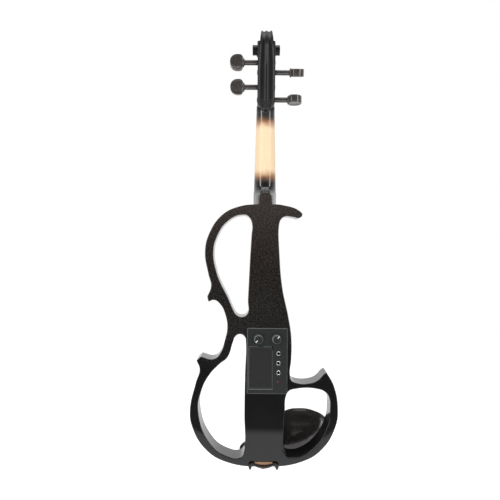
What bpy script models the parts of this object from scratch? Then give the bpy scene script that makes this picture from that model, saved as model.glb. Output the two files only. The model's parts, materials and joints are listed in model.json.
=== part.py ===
# Electric viola: a routed frame body, bolt-on neck, pegs, strings, fittings and rear electronics.
# Metres, +Z up towards the scroll, -Y towards the back, +X towards the chinrest.
# Everything is placed from the shoulder: x from the centre line, y from the back's plane, z from the
# body's upper edge. One empty then carries the whole viola to its hanger seat under the scroll.
import math

import bmesh
import bpy
from mathutils import Matrix, Vector

# Clearance between pieces that lie together, and between pieces that turn or slide
GAP = 0.0003
RUNNING_GAP = 0.0004

# Body
BODY_LENGTH = 0.4064
LOWER_BOUT = 0.2292
BODY_DEPTH = 0.036
BODY_EDGE = 0.0012
RIM_WIDTH = 0.0130
SPINE_NECK_LEFT = 0.0205
SPINE_NECK_RIGHT = 0.0217
SPINE_LEFT_MARGIN = 0.0031
SPINE_RIGHT_MARGIN = 0.0061
SPINE_TAIL_RIGHT = 0.0315
WEB_WIDTH = 0.0265
CROSSBAR_WIDTH = 0.0092
HEEL_WIDTH = 0.0212
HEEL_HEIGHT = 0.0182
HEEL_BUTTON = 0.0040

# Neck and fingerboard
NECK_LENGTH = 0.151
NECK_THICKNESS = 0.0118
GLUE_RISE = 0.0070
HEEL_SIDE = 0.0365
TENON_LENGTH = 0.008
TENON_WIDTH = 0.022
BOARD_SLOPE = 0.070
BOARD_NUT_WIDTH = 0.0288
BOARD_END_WIDTH = 0.0450
BOARD_LENGTH = 0.317
BOARD_CROWN = 0.0095
BOARD_RADIUS = 0.042
NUT_LENGTH = 0.005
NUT_RISE = 0.0010

# Pegbox and scroll: rises are from the nut, falls are behind the glue line at the nut
PEGBOX_WIDTH = 0.0272
PEGBOX_WALL = 0.0057
EYE_RISE = 0.0950
EYE_FALL = 0.0094
EYE_WIDTH = 0.0432
SEAT_RISE = 0.0855
SEAT_FALL = 0.02393

# Strings and bridge
STOP_SHARE = 0.54134
STRING_ACTION = 0.0041
BRIDGE_FEET = 0.0490
BRIDGE_BASE = 0.0045
BRIDGE_THINNING = 0.62
BRIDGE_CROWN_RADIUS = 0.044
BRIDGE_SPACING = 0.0125
NUT_SPACING = 0.0058
STRING_DIAMETERS = {"c": 0.0012, "g": 0.0010, "d": 0.0009, "a": 0.0008}
STRING_BALL = 0.0028
PICKUP_DEPTH = 0.0012
LEAD = 0.0018

# Tailpiece, saddle and end button: rises are from the body's front
TAILPIECE_MARGIN = 0.0164
TAILPIECE_LENGTH = 0.110
TAILPIECE_TOP_WIDTH = 0.047
TAILPIECE_END_WIDTH = 0.022
TAILPIECE_THICKNESS = 0.0045
TAILPIECE_RADIUS = 0.040
TAILPIECE_TOP_RISE = 0.0200
TAILPIECE_END_RISE = 0.0090
SADDLE_WIDTH = 0.026
SADDLE_LENGTH = 0.0065
SADDLE_RISE = 0.0030
SADDLE_SEAT = 0.0060
GUT_DIAMETER = 0.0018
GUT_SPREAD = 0.0036
BUTTON_DIAMETER = 0.0140
BUTTON_SHANK = 0.0070
BUTTON_SHANK_LENGTH = 0.020
BUTTON_NECK = 0.0052
BUTTON_HEAD = 0.0040

# Pegs: rise from the nut, fall behind the glue line, reach of the head, its turn in degrees, side
PEG_SHAFT = 0.0076
PEG_TAPER = 0.86
PEG_HEAD_LENGTH = 0.0215
PEG_HEAD_HEIGHT = 0.0240
PEG_HEAD_THICKNESS = 0.0108
PEG_CLEARANCE = 0.0008
PEG_PLACES = {
    "c": (0.0155, 0.0129, 0.0350, 48, 1),
    "a": (0.0340, 0.0169, 0.0350, 8, -1),
    "g": (0.0560, 0.0204, 0.0376, 84, 1),
    "d": (0.0705, 0.0229, 0.0354, -6, -1),
}
WINDING_TURNS = 2
WINDING_GAP = 0.0006
WINDING_START = 0.0045

# Fine tuners: places are from the tailpiece's upper end
TUNER_SPREAD = 0.78
TUNER_LEVER = 0.0030
TUNER_SCREW = 0.0026
TUNER_HEAD = 0.0064
TUNER_BALL_PLACE = 0.0078
TUNER_PIVOT_PLACE = 0.0080
TUNER_SCREW_PLACE = 0.0270

# Chinrest: rises are from the body's front
CHINREST_TOP_RISE = 0.0230
CHINREST_RIM = 0.0045
CHINREST_BLOCK = 0.0135
CHINREST_ARCH_RISE = 0.0150
CUP_FALL = 0.0125
CUP_DISH = 0.0130
CORK = 0.0016

# Clamp: rises are from the body's lower edge
CLAMP_SPREAD = 0.0410
CLAMP_ROD = 0.0030
CLAMP_THREAD = 0.0085
BARREL_DIAMETER = 0.0058
BARREL_LENGTH = 0.020
BARREL_KEY = 0.0018
BRACKET_PLATE = 0.0015
FOOT_WIDTH = 0.0280
FOOT_PLATE = 0.0009
FOOT_RISE = 0.0041
FOOT_LIP_WIDTH = 0.0132
FOOT_LIP_REACH = 0.0066
FOOT_CORK_RISE = 0.0098

# Battery compartment
BATTERY_WIDTH = 0.0262
BATTERY_THICKNESS = 0.0172
BATTERY_HEIGHT = 0.0460
BATTERY_SIDE_ROOM = 0.0012
STUD_DIAMETER = 0.0056
STUD_HEIGHT = 0.0022
STUD_SPACING = 0.0128
CLIP_WIDTH = 0.0230
CLIP_DEPTH = 0.0100
CLIP_HEIGHT = 0.0050
TRAY_WALL = 0.0014
TRAY_FRONT_ROOM = 0.0033
TRAY_LOW_LAP = 0.0040
TRAY_HIGH_LAP = 0.0030
LEAD_ROOM = 0.0098
DOOR_SIDE_LAP = 0.0058
DOOR_THICKNESS = 0.0018
DOOR_HINGE = 0.0022
DOOR_PIN = 0.0010

# Control panel: falls are from its upper edge, knob places from its middle
PANEL_CENTRE_X = 0.0044
PANEL_OVER_BRIDGE = 0.0282
PANEL_PROUD = 0.0012
PANEL_SEAT = 0.0018
PANEL_EDGE = 0.0007
DOOR_MARGIN = 0.0023
SOCKET_STRIP = 0.0225
KNOB_STRIP = 0.0281
DOOR_SILL = 0.0057
CAVITY_FLOOR_ROOM = 0.0031
CAVITY_LEDGE = 0.0035
KNOB_DIAMETER = 0.0150
KNOB_HEIGHT = 0.0052
KNOB_ROOF = 0.0016
KNOB_SHAFT = 0.0060
POINTER_START = 0.0025
POINTER_MARGIN = 0.0012
POINTER_WIDTH = 0.0012
POINTER_PROUD = 0.0004
KNOB_FALL = 0.0168
KNOB_PLACES = {"volume": (-0.0134, 226), "tone": (0.0144, 52)}
POTENTIOMETER = 0.0164
SHAFT_TAIL = 0.0012
SOCKET_MARGIN = 0.0139
SOCKET_FALLS = {"line_out": 0.0384, "phones": 0.0534, "music_in": 0.0679}
SOCKET_RING = 0.0075
SOCKET_BARREL = 0.0060
SOCKET_BORE = 0.0036
SOCKET_PROUD = 0.0014
SOCKET_CASE_WIDTH = 0.0084
SOCKET_CASE_HEIGHT = 0.0116
LAMP_FALL = 0.0824
LAMP_MARGIN = 0.0147
LAMP_DIAMETER = 0.0030
BOARD_LEVEL = 0.0108
BOARD_THICKNESS = 0.0016
BOARD_ROOM = 0.0012

# Worked out from the sizes above
FRONT = BODY_DEPTH
FOOT_END = -BODY_LENGTH
BRIDGE_Z = -STOP_SHARE * BODY_LENGTH
BOARD_END = NECK_LENGTH - BOARD_LENGTH
NUT_MIDDLE = NECK_LENGTH + NUT_LENGTH / 2
NUT_FRONT = FRONT + GLUE_RISE - BOARD_SLOPE * NECK_LENGTH
EYE_DEPTH = NUT_FRONT - EYE_FALL
EYE_HEIGHT = NECK_LENGTH + EYE_RISE
PEG_HOLE = PEG_SHAFT / 2 + PEG_CLEARANCE
PEGBOX_TOP = NECK_LENGTH + max(row[0] for row in PEG_PLACES.values()) + PEG_HOLE + 0.0011
TAIL_START = -(BODY_LENGTH - TAILPIECE_MARGIN - TAILPIECE_LENGTH)
TAIL_END = TAIL_START - TAILPIECE_LENGTH
TUNER_SLOT = TUNER_LEVER + 4 * GAP
BUTTON_HEIGHT = FRONT / 2
REST_TOP = FRONT + CHINREST_TOP_RISE
REST_UNDERSIDE = REST_TOP - CHINREST_BLOCK
CLAMP_LEVEL = FOOT_END - GAP - BARREL_DIAMETER / 2
DOOR_WIDTH = BATTERY_WIDTH + 2 * DOOR_SIDE_LAP
DOOR_HEIGHT = BATTERY_HEIGHT + CLIP_HEIGHT + LEAD_ROOM + TRAY_LOW_LAP + TRAY_HIGH_LAP
PANEL_LEFT = PANEL_CENTRE_X - (DOOR_MARGIN + DOOR_WIDTH + SOCKET_STRIP) / 2
PANEL_RIGHT = PANEL_LEFT + DOOR_MARGIN + DOOR_WIDTH + SOCKET_STRIP
PANEL_HIGH = BRIDGE_Z + PANEL_OVER_BRIDGE
PANEL_LOW = PANEL_HIGH - KNOB_STRIP - DOOR_HEIGHT - DOOR_SILL
DOOR_LEFT = PANEL_LEFT + DOOR_MARGIN
DOOR_RIGHT = DOOR_LEFT + DOOR_WIDTH
DOOR_HIGH = PANEL_HIGH - KNOB_STRIP
DOOR_LOW = DOOR_HIGH - DOOR_HEIGHT
DOOR_MIDDLE = (DOOR_LEFT + DOOR_RIGHT) / 2
HINGE_Y = -PANEL_PROUD + DOOR_HINGE / 2
HINGE_Z = DOOR_LOW + DOOR_HINGE / 2
TRAY_DEPTH = BATTERY_THICKNESS + TRAY_FRONT_ROOM
TRAY_HALF = BATTERY_WIDTH / 2 + BATTERY_SIDE_ROOM
TRAY_LOW = DOOR_LOW + TRAY_LOW_LAP
TRAY_HIGH = DOOR_HIGH - TRAY_HIGH_LAP
CAVITY_DEPTH = TRAY_DEPTH + TRAY_WALL + CAVITY_FLOOR_ROOM
SPINE_LEFT = -PANEL_LEFT + SPINE_LEFT_MARGIN
SPINE_RIGHT = PANEL_RIGHT + SPINE_RIGHT_MARGIN
SOCKET_X = PANEL_RIGHT - SOCKET_MARGIN

# How finely round shapes are divided
STEPS = 3
BODY_STEPS = 4

BLACK_LACQUER = ((0.012, 0.011, 0.011), 0.22, 0.15)
MAPLE = ((0.78, 0.60, 0.38), 0.30, 0.0)
BRIDGE_MAPLE = ((0.72, 0.55, 0.34), 0.55, 0.0)
EBONY = ((0.015, 0.012, 0.011), 0.42, 0.0)
BLACK_PLASTIC = ((0.020, 0.024, 0.023), 0.45, 0.0)
STEEL = ((0.62, 0.62, 0.63), 0.28, 1.0)
BLACK_STEEL = ((0.03, 0.03, 0.03), 0.35, 0.8)
CORK_BROWN = ((0.38, 0.20, 0.10), 0.85, 0.0)
BOARD_GREEN = ((0.02, 0.12, 0.05), 0.5, 0.0)
BATTERY_GREY = ((0.25, 0.25, 0.26), 0.35, 0.6)
LAMP_RED = ((0.45, 0.02, 0.02), 0.2, 0.0)
LEAD_BLACK = ((0.02, 0.02, 0.02), 0.5, 0.0)
PICKUP_BRASS = ((0.60, 0.42, 0.16), 0.35, 1.0)
GUT_BLACK = ((0.03, 0.03, 0.03), 0.4, 0.0)

for old in list(bpy.data.objects):
    bpy.data.objects.remove(old, do_unlink=True)

viola = bpy.data.objects.new("viola", None)
viola.location = (0, SEAT_FALL - NUT_FRONT, -NECK_LENGTH - SEAT_RISE)
bpy.context.scene.collection.objects.link(viola)
finishes = {}


def finish_of(name, finish):
    """One Principled material for each piece."""
    if name in finishes:
        return finishes[name]
    colour, roughness, metallic = finish
    made = bpy.data.materials.new(name)
    made.use_nodes = True
    shader = made.node_tree.nodes["Principled BSDF"]
    shader.inputs["Base Color"].default_value = (*colour, 1)
    shader.inputs["Roughness"].default_value = roughness
    shader.inputs["Metallic"].default_value = metallic
    finishes[name] = made
    return made


def place(name, mesh, finish=None, at=(0, 0, 0)):
    """An object of this mesh, carried by the viola."""
    made = bpy.data.objects.new(name, mesh)
    bpy.context.scene.collection.objects.link(made)
    made.parent = viola
    made.location = at
    if finish:
        mesh.materials.append(finish_of(name, finish))
        mesh.shade_smooth()
        mesh.set_sharp_from_angle(angle=math.radians(35))
    return made


def helper(made):
    made.hide_render = True
    made.display_type = "WIRE"
    return made


def boolean(target, other, operation):
    step = target.modifiers.new(operation.title() + " " + other.name, "BOOLEAN")
    step.operation = operation
    step.solver = "EXACT"
    step.object = helper(other)


def cut(target, *cutters):
    for cutter in cutters:
        boolean(target, cutter, "DIFFERENCE")


def join(target, *others):
    for other in others:
        boolean(target, other, "UNION")


def round_edges(target, width, segments=1, angle=50):
    edge = target.modifiers.new("edge", "BEVEL")
    edge.width = width
    edge.segments = segments
    edge.limit_method = "ANGLE"
    edge.angle_limit = math.radians(angle)


def mesh_from(name, work):
    """Closes the bmesh into a mesh, with doubles merged and normals facing out."""
    bmesh.ops.remove_doubles(work, verts=work.verts, dist=1e-6)
    bmesh.ops.recalc_face_normals(work, faces=work.faces)
    mesh = bpy.data.meshes.new(name)
    work.to_mesh(mesh)
    work.free()
    return mesh


def box_mesh(name, low, high):
    work = bmesh.new()
    size = Vector(high) - Vector(low)
    middle = (Vector(high) + Vector(low)) / 2
    matrix = Matrix.Translation(middle) @ Matrix.Diagonal((*size, 1))
    bmesh.ops.create_cube(work, size=1, matrix=matrix)
    return mesh_from(name, work)


# Where an outline's own two axes and its thickness lie
TURNS = {
    "Y": Matrix(((1, 0, 0), (0, 0, -1), (0, 1, 0))),
    "Z": Matrix(((1, 0, 0), (0, 1, 0), (0, 0, 1))),
    "X": Matrix(((0, 0, 1), (1, 0, 0), (0, 1, 0))),
}


def slab_mesh(name, outlines, low, high, through="Y", steps=STEPS):
    """A flat shape of one thickness. Each outline is closed, the first outside and the rest holes.

    A point is (across, up) for a smooth bend or (across, up, "corner")."""
    curve = bpy.data.curves.new(name, "CURVE")
    curve.dimensions = "2D"
    curve.fill_mode = "BOTH"
    curve.extrude = (high - low) / 2
    curve.resolution_u = steps
    for outline in outlines:
        straight = all(len(point) == 3 for point in outline)
        spline = curve.splines.new("POLY" if straight else "BEZIER")
        if straight:
            spline.points.add(len(outline) - 1)
            for point, knot in zip(spline.points, outline):
                point.co = (knot[0], knot[1], 0, 1)
        else:
            spline.bezier_points.add(len(outline) - 1)
            for point, knot in zip(spline.bezier_points, outline):
                point.co = (knot[0], knot[1], 0)
                kind = "VECTOR" if len(knot) == 3 else "AUTO"
                point.handle_left_type = kind
                point.handle_right_type = kind
        spline.use_cyclic_u = True
    shape = bpy.data.objects.new(name, curve)
    bpy.context.scene.collection.objects.link(shape)
    graph = bpy.context.evaluated_depsgraph_get()
    flat = bpy.data.meshes.new_from_object(shape.evaluated_get(graph))
    bpy.data.objects.remove(shape)
    bpy.data.curves.remove(curve)
    work = bmesh.new()
    work.from_mesh(flat)
    bpy.data.meshes.remove(flat)
    middle = (low + high) / 2
    shift = {"X": (middle, 0, 0), "Y": (0, middle, 0), "Z": (0, 0, middle)}[through]
    bmesh.ops.transform(work, matrix=Matrix.Translation(shift) @ TURNS[through].to_4x4(), verts=work.verts)
    return mesh_from(name, work)


def turned_mesh(name, profile, centre, axis, sides=20):
    """A turned shape: the profile's points are (radius, distance along the axis)."""
    work = bmesh.new()
    along = Vector(axis).normalized()
    across = along.orthogonal().normalized()
    points = [work.verts.new(Vector(centre) + across * r + along * t) for r, t in profile]
    edges = [work.edges.new(pair) for pair in zip(points, points[1:])]
    bmesh.ops.spin(
        work, geom=points + edges, cent=centre, axis=along, angle=math.tau, steps=sides, use_merge=True
    )
    return mesh_from(name, work)


def rod_mesh(name, radius, low, high, centre, axis, sides=16):
    """A plain round bar from low to high along the axis."""
    return turned_mesh(name, [(0, low), (radius, low), (radius, high), (0, high)], centre, axis, sides)


def loft_mesh(name, sections):
    """A skin over rings of the same number of points, closed at both ends."""
    work = bmesh.new()
    rings = [[work.verts.new(point) for point in section] for section in sections]
    count = len(rings[0])
    for one, two in zip(rings, rings[1:]):
        for i in range(count):
            j = (i + 1) % count
            work.faces.new((one[i], one[j], two[j], two[i]))
    work.faces.new(rings[0])
    work.faces.new(list(reversed(rings[-1])))
    return mesh_from(name, work)


def swept_mesh(name, points, radii, sides=8):
    """A round bar along the points, with its own radius at each."""
    sections = []
    points = [Vector(point) for point in points]
    ways = [(b - a).normalized() for a, b in zip(points, points[1:])]
    ways = [ways[0]] + [(a + b).normalized() for a, b in zip(ways, ways[1:])] + [ways[-1]]
    across = ways[0].orthogonal().normalized()
    for point, way, radius in zip(points, ways, radii):
        across = (across - way * across.dot(way)).normalized()
        other = way.cross(across)
        angles = [math.tau * i / sides for i in range(sides)]
        sections.append([point + (across * math.cos(a) + other * math.sin(a)) * radius for a in angles])
    return loft_mesh(name, sections)


def bend_between(a, b, c, d, steps):
    """Points of a smooth curve from b up to c, with a before them and d after."""
    made = []
    for i in range(steps):
        t = i / steps
        made.append(
            0.5 * (2 * b + (c - a) * t + (2 * a - 5 * b + 4 * c - d) * t**2 + (3 * b - a - 3 * c + d) * t**3)
        )
    return made


def bent(points, steps=5):
    """Points of a smooth open curve through these points."""
    points = [Vector(point) for point in points]
    ends = [2 * points[0] - points[1]] + points + [2 * points[-1] - points[-2]]
    made = []
    for a, b, c, d in zip(ends, ends[1:], ends[2:], ends[3:]):
        made += bend_between(a, b, c, d, steps)
    return made + [points[-1]]


def bent_round(points, steps=3):
    """Points of a smooth closed curve through these points."""
    points = [Vector(point) for point in points]
    made = []
    for i in range(len(points)):
        a, b, c, d = (points[(i + shift) % len(points)] for shift in (-1, 0, 1, 2))
        made += bend_between(a, b, c, d, steps)
    return made


def mixed(values, at):
    """The value at this place of an evenly spaced list, with smooth steps between."""
    index = min(int(at), len(values) - 2)
    t = at - index
    before = values[max(index - 1, 0)]
    after = values[min(index + 2, len(values) - 1)]
    one, two = values[index], values[index + 1]
    slope_one, slope_two = (two - before) / 2, (after - one) / 2
    return (
        one * (2 * t**3 - 3 * t**2 + 1)
        + slope_one * (t**3 - 2 * t**2 + t)
        + two * (3 * t**2 - 2 * t**3)
        + slope_two * (t**3 - t**2)
    )


def between(one, two, share):
    return one + (two - one) * share


def mirrored(half):
    """A right half and its mirror image, from the first point on the right to the same on the left."""
    return half + [(-x, *rest) for x, *rest in reversed(half) if abs(x) > 1e-9]


def clear(radius, sides=12):
    """The radius of a faceted hole that clears a round piece of this radius."""
    return (radius + GAP) / math.cos(math.pi / sides)


def sagitta(radius, x):
    return radius - math.sqrt(radius**2 - x**2)


def across(share):
    return share * LOWER_BOUT / 2


def down(share):
    return -share * BODY_LENGTH


# The body's outline as shares of the half bout and of the length, a corner where it is marked
LEFT_SHOULDER = [(-0.34, 0.0088), (-0.573, 0.0401), (-0.761, 0.1163), (-0.812, 0.1850), (-0.764, 0.2685)]
UPPER_CORNER = [(-0.726, 0.3139), (-0.777, 0.3540, "corner"), (-0.760, 0.3735, "corner"), (-0.681, 0.3673)]
LEFT_WAIST = [(-0.602, 0.3826), (-0.527, 0.4257), (-0.503, 0.4751), (-0.532, 0.5163)]
LOWER_CORNER = [(-0.600, 0.5707), (-0.684, 0.5915), (-0.859, 0.5827, "corner"), (-0.917, 0.5973, "corner")]
LEFT_BOUT = [(-0.872, 0.6309), (-0.920, 0.6794), (-1.000, 0.7883), (-0.972, 0.8467), (-0.777, 0.9378)]
BOTTOM = [(-0.509, 0.9828), (0.0, 1.0), (0.517, 0.9806)]
RIGHT_BOUT = [(0.783, 0.9343), (0.973, 0.8428), (1.000, 0.7843), (0.943, 0.6907)]
HORN = [(0.844, 0.6395, "corner"), (0.799, 0.6477, "corner"), (0.722, 0.6703), (0.634, 0.6806)]
RIGHT_LUG = [(0.383, 0.0497), (0.454, 0.0529), (0.500, 0.0403), (0.462, 0.0259), (0.236, 0.0037)]
WAIST_SHARE = 0.4960
CROSSBAR_SHARE = 0.6811


def shares(knots):
    return [(across(knot[0]), down(knot[1]), *knot[2:]) for knot in knots]


def inset(knots, width):
    """Knots moved to the right of their way by this width, for the rim's inner edge."""
    points = [Vector(knot[:2]) for knot in shares(knots)]
    moved = []
    for before, point, after in zip(points, points[1:], points[2:]):
        way = (after - before).normalized()
        moved.append(tuple(point + Vector((-way.y, way.x)) * width))
    return moved


def body_outline():
    half = HEEL_WIDTH / 2
    middle = HEEL_HEIGHT - half
    return (
        [(-half, 0, "corner")]
        + shares(LEFT_SHOULDER + UPPER_CORNER + LEFT_WAIST + LOWER_CORNER + LEFT_BOUT + BOTTOM)
        + shares(RIGHT_BOUT + HORN)
        + [
            (SPINE_RIGHT + 0.0091, down(CROSSBAR_SHARE)),
            (SPINE_RIGHT + 0.0007, down(0.6713)),
            (SPINE_RIGHT - 0.0019, down(0.6501)),
            (SPINE_RIGHT, down(0.5886)),
            (SPINE_RIGHT - 0.0002, down(0.5057)),
            (SPINE_RIGHT - 0.0051, down(0.4282)),
            (SPINE_NECK_RIGHT + 0.0056, down(0.3211)),
            (SPINE_NECK_RIGHT + 0.0008, down(0.1976)),
            (SPINE_NECK_RIGHT, down(0.0752)),
            (SPINE_NECK_RIGHT + 0.0024, down(0.0594)),
            (SPINE_NECK_RIGHT + 0.0077, down(0.0482)),
        ]
        + shares(RIGHT_LUG)
        + [(half, 0, "corner"), (half, middle, "corner")]
        + [(half * math.cos(a), middle + half * math.sin(a)) for a in (0.7, math.pi / 2, math.pi - 0.7)]
        + [(-half, middle, "corner")]
    )


def upper_window():
    """The open bay between the spine and the upper left rim."""
    foot = down(WAIST_SHARE) + WEB_WIDTH
    rim = across(LEFT_WAIST[1][0]) + RIM_WIDTH + 0.0003
    spine = -SPINE_LEFT + 0.0030
    neck = -SPINE_NECK_LEFT
    shoulder = inset(LEFT_SHOULDER + UPPER_CORNER[:1], RIM_WIDTH)
    return shoulder + [
        (across(UPPER_CORNER[0][0]) + RIM_WIDTH + 0.0010, down(0.2983)),
        (across(LEFT_WAIST[0][0]) + RIM_WIDTH - 0.0013, down(0.3558)),
        (rim, down(0.4112)),
        (between(spine, rim, 0.85), foot + 0.0035),
        (between(spine, rim, 0.42), foot),
        (spine, foot + 0.0045),
        (spine + 0.0010, down(0.3661)),
        (neck - 0.0030, down(0.2206)),
        (neck - 0.0006, down(0.1158)),
        (neck + 0.0002, down(0.0787)),
        (neck - 0.0055, down(0.0481)),
        (between(neck - 0.0055, shoulder[0][0], 0.26), down(0.0416)),
    ]


def lower_left_window():
    """The open bay between the spine and the lower left rim."""
    head = down(WAIST_SHARE)
    spine = -SPINE_LEFT
    waist = inset(LEFT_WAIST[2:] + LOWER_CORNER[:2], RIM_WIDTH)
    return (
        [(between(spine, waist[0][0], 0.83), head - 0.0040)]
        + waist[:2]
        + [(across(-0.600), down(0.6098)), (across(-0.740), down(0.6523)), (across(-0.846), down(0.7121))]
        + inset(LEFT_BOUT[1:4], RIM_WIDTH)
        + inset([*LEFT_BOUT[3:], BOTTOM[0]], RIM_WIDTH * 0.86)
        + inset([LEFT_BOUT[4], *BOTTOM[:2]], RIM_WIDTH * 0.68)
        + [
            (spine - 0.0080, down(0.9674)),
            (spine - 0.0022, down(0.9573)),
            (spine + 0.0004, down(0.9358)),
            (spine - 0.0002, down(0.8024)),
            (spine + 0.0003, down(0.6519)),
            (spine + 0.0013, down(0.5276)),
            (spine - 0.0002, head - 0.0046),
            (between(spine, waist[0][0], 0.42), head),
        ]
    )


def lower_right_window():
    """The bay that the chinrest's cup shows through, under the crossbar."""
    head = down(CROSSBAR_SHARE) - CROSSBAR_WIDTH
    panel_corner = min(PANEL_LOW, head - 0.0074)
    side = inset([*BOTTOM[1:], RIGHT_BOUT[0]], RIM_WIDTH * 0.72)
    side += inset([BOTTOM[2], *RIGHT_BOUT[:2]], RIM_WIDTH * 0.86)
    side += inset(RIGHT_BOUT, RIM_WIDTH * 0.95)
    return (
        [(SPINE_TAIL_RIGHT + 0.0155, head), (across(0.735), head)]
        + [(across(0.829), head - 0.0048), (across(0.878), down(0.7352))]
        + list(reversed(side))
        + [
            (SPINE_TAIL_RIGHT + 0.0125, down(0.9638)),
            (SPINE_TAIL_RIGHT + 0.0040, down(0.9603)),
            (SPINE_TAIL_RIGHT - 0.0006, down(0.9408)),
            (SPINE_TAIL_RIGHT - 0.0012, down(0.8926)),
            (SPINE_TAIL_RIGHT + 0.0008, panel_corner - 0.0266),
            (SPINE_TAIL_RIGHT + 0.0028, panel_corner - 0.0029),
            (SPINE_TAIL_RIGHT + 0.0074, panel_corner + 0.0044),
        ]
    )


def glue_height(z):
    """The neck's flat front, where the fingerboard is glued."""
    return FRONT + GLUE_RISE - BOARD_SLOPE * z


def board_width(z):
    return between(BOARD_NUT_WIDTH, BOARD_END_WIDTH, (NECK_LENGTH - z) / BOARD_LENGTH)


def bridge_crown():
    """The bridge's highest point, so that the strings clear the board's end by their action."""
    at_nut = glue_height(NUT_MIDDLE) + BOARD_CROWN + NUT_RISE
    at_end = glue_height(BOARD_END) + BOARD_CROWN + STRING_ACTION
    return between(at_nut, at_end, (NUT_MIDDLE - BRIDGE_Z) / (NUT_MIDDLE - BOARD_END))


def bridge_top(x):
    return bridge_crown() - sagitta(BRIDGE_CROWN_RADIUS, x)


def string_x(name, spacing):
    return spacing * {"c": 1.5, "g": 0.5, "d": -0.5, "a": -1.5}[name]


def tail_height(z):
    """The top of the tailpiece on its centre line."""
    share = (TAIL_START - z) / TAILPIECE_LENGTH
    return FRONT + between(TAILPIECE_TOP_RISE, TAILPIECE_END_RISE, share)


def tail_top(x, z):
    return tail_height(z) - sagitta(TAILPIECE_RADIUS, x)


def peg_place(name):
    """The middle of the peg's shaft."""
    rise, fall = PEG_PLACES[name][:2]
    return Vector((0, NUT_FRONT - fall, NECK_LENGTH + rise))


def string_route(name):
    """From the ball in the fine tuner, over bridge and nut, down to the peg's winding."""
    radius = STRING_DIAMETERS[name] / 2
    bridge_x, nut_x = string_x(name, BRIDGE_SPACING), string_x(name, NUT_SPACING)
    nut_y = glue_height(NUT_MIDDLE) + BOARD_CROWN + NUT_RISE - sagitta(BOARD_RADIUS, nut_x)
    tail_x, tail_z = bridge_x * TUNER_SPREAD, TAIL_START - TUNER_BALL_PLACE
    tail = Vector((tail_x, tail_top(tail_x, tail_z) + 0.0009, tail_z))
    bridge = Vector((bridge_x, bridge_top(bridge_x) + radius * 0.2, BRIDGE_Z))
    nut = Vector((nut_x, nut_y + radius * 0.2, NUT_MIDDLE))
    peg = peg_place(name)
    peg.x = PEG_PLACES[name][-1] * WINDING_START
    coil = PEG_SHAFT / 2 + GAP + 2 * radius + GAP + radius
    way = (peg - nut).normalized()
    lift = Vector((1, 0, 0)).cross(way).normalized()
    lift = lift if lift.y > 0 else -lift
    landing = peg + lift * coil * 0.98 - way * 0.0008
    landing.x = peg.x
    return tail, bridge, nut, landing, radius


def string_cutters():
    """One round channel along each string, for the notches in nut and bridge."""
    made = []
    for name in STRING_DIAMETERS:
        *points, radius = string_route(name)
        mesh = swept_mesh("notch_" + name, points, [radius + GAP] * len(points))
        made.append(helper(place(mesh.name, mesh)))
    return made


def body():
    outlines = [body_outline(), upper_window(), lower_left_window(), lower_right_window()]
    made = place("body", slab_mesh("body", outlines, 0, FRONT, "Y", BODY_STEPS), BLACK_LACQUER)
    past = 0.01
    heel_room = box_mesh(
        "heel_room",
        (-HEEL_SIDE, HEEL_BUTTON, -GAP),
        (HEEL_SIDE, FRONT + past, HEEL_HEIGHT + past),
    )
    cut(made, place(heel_room.name, heel_room))
    round_edges(made, BODY_EDGE)
    seat = box_mesh(
        "panel_seat",
        (PANEL_LEFT - GAP, -past, PANEL_LOW - GAP),
        (PANEL_RIGHT + GAP, PANEL_SEAT + GAP, PANEL_HIGH + GAP),
    )
    cavity = box_mesh(
        "cavity",
        (PANEL_LEFT + CAVITY_LEDGE, 0, PANEL_LOW + CAVITY_LEDGE),
        (PANEL_RIGHT - CAVITY_LEDGE, CAVITY_DEPTH, PANEL_HIGH - CAVITY_LEDGE),
    )
    half = TENON_WIDTH / 2 + GAP
    mortise = box_mesh("mortise", (-half, tenon_floor(), -TENON_LENGTH - GAP), (half, FRONT + past, past))
    pickup = box_mesh(
        "pickup_slot",
        (-BRIDGE_FEET / 2 - GAP, FRONT - PICKUP_DEPTH, BRIDGE_Z - BRIDGE_BASE / 2 - GAP),
        (BRIDGE_FEET / 2 + GAP, FRONT + past, BRIDGE_Z + BRIDGE_BASE / 2 + GAP),
    )
    lead = rod_mesh(
        "lead_hole",
        clear(LEAD / 2),
        CAVITY_DEPTH - 0.002,
        FRONT + 0.002,
        (lead_x(), 0, BRIDGE_Z),
        (0, 1, 0),
        10,
    )
    socket = rod_mesh(
        "button_hole",
        clear(BUTTON_SHANK / 2),
        -past,
        BUTTON_SHANK_LENGTH + GAP,
        (0, BUTTON_HEIGHT, FOOT_END),
        (0, 0, 1),
    )
    saddle_seat = box_mesh(
        "saddle_seat",
        (-SADDLE_WIDTH / 2 - GAP, FRONT - SADDLE_SEAT, FOOT_END - past),
        (SADDLE_WIDTH / 2 + GAP, FRONT + past, FOOT_END + SADDLE_LENGTH + GAP),
    )
    for mesh in (seat, cavity, mortise, pickup, lead, socket, saddle_seat):
        cut(made, place(mesh.name, mesh))
    return made


def tenon_floor():
    return FRONT * 0.4


def lead_x():
    """The pickup's lead leaves near the bridge's right foot."""
    return BRIDGE_FEET / 2 - 0.004


def neck_section(z, depth, top_width, back_width, power, count=7):
    """A ring round the neck: flat in front, rounded or squared behind."""
    front = glue_height(z)
    points = []
    for i in range(count):
        angle = math.pi / 2 * i / (count - 1)
        share = math.sin(angle) ** (2 / power)
        half = between(top_width, back_width, share) / 2
        points.append((half * math.cos(angle) ** (2 / power), front - depth * share, z))
    return points + [(-x, y, z) for x, y, z in reversed(points[:-1])]


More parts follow.
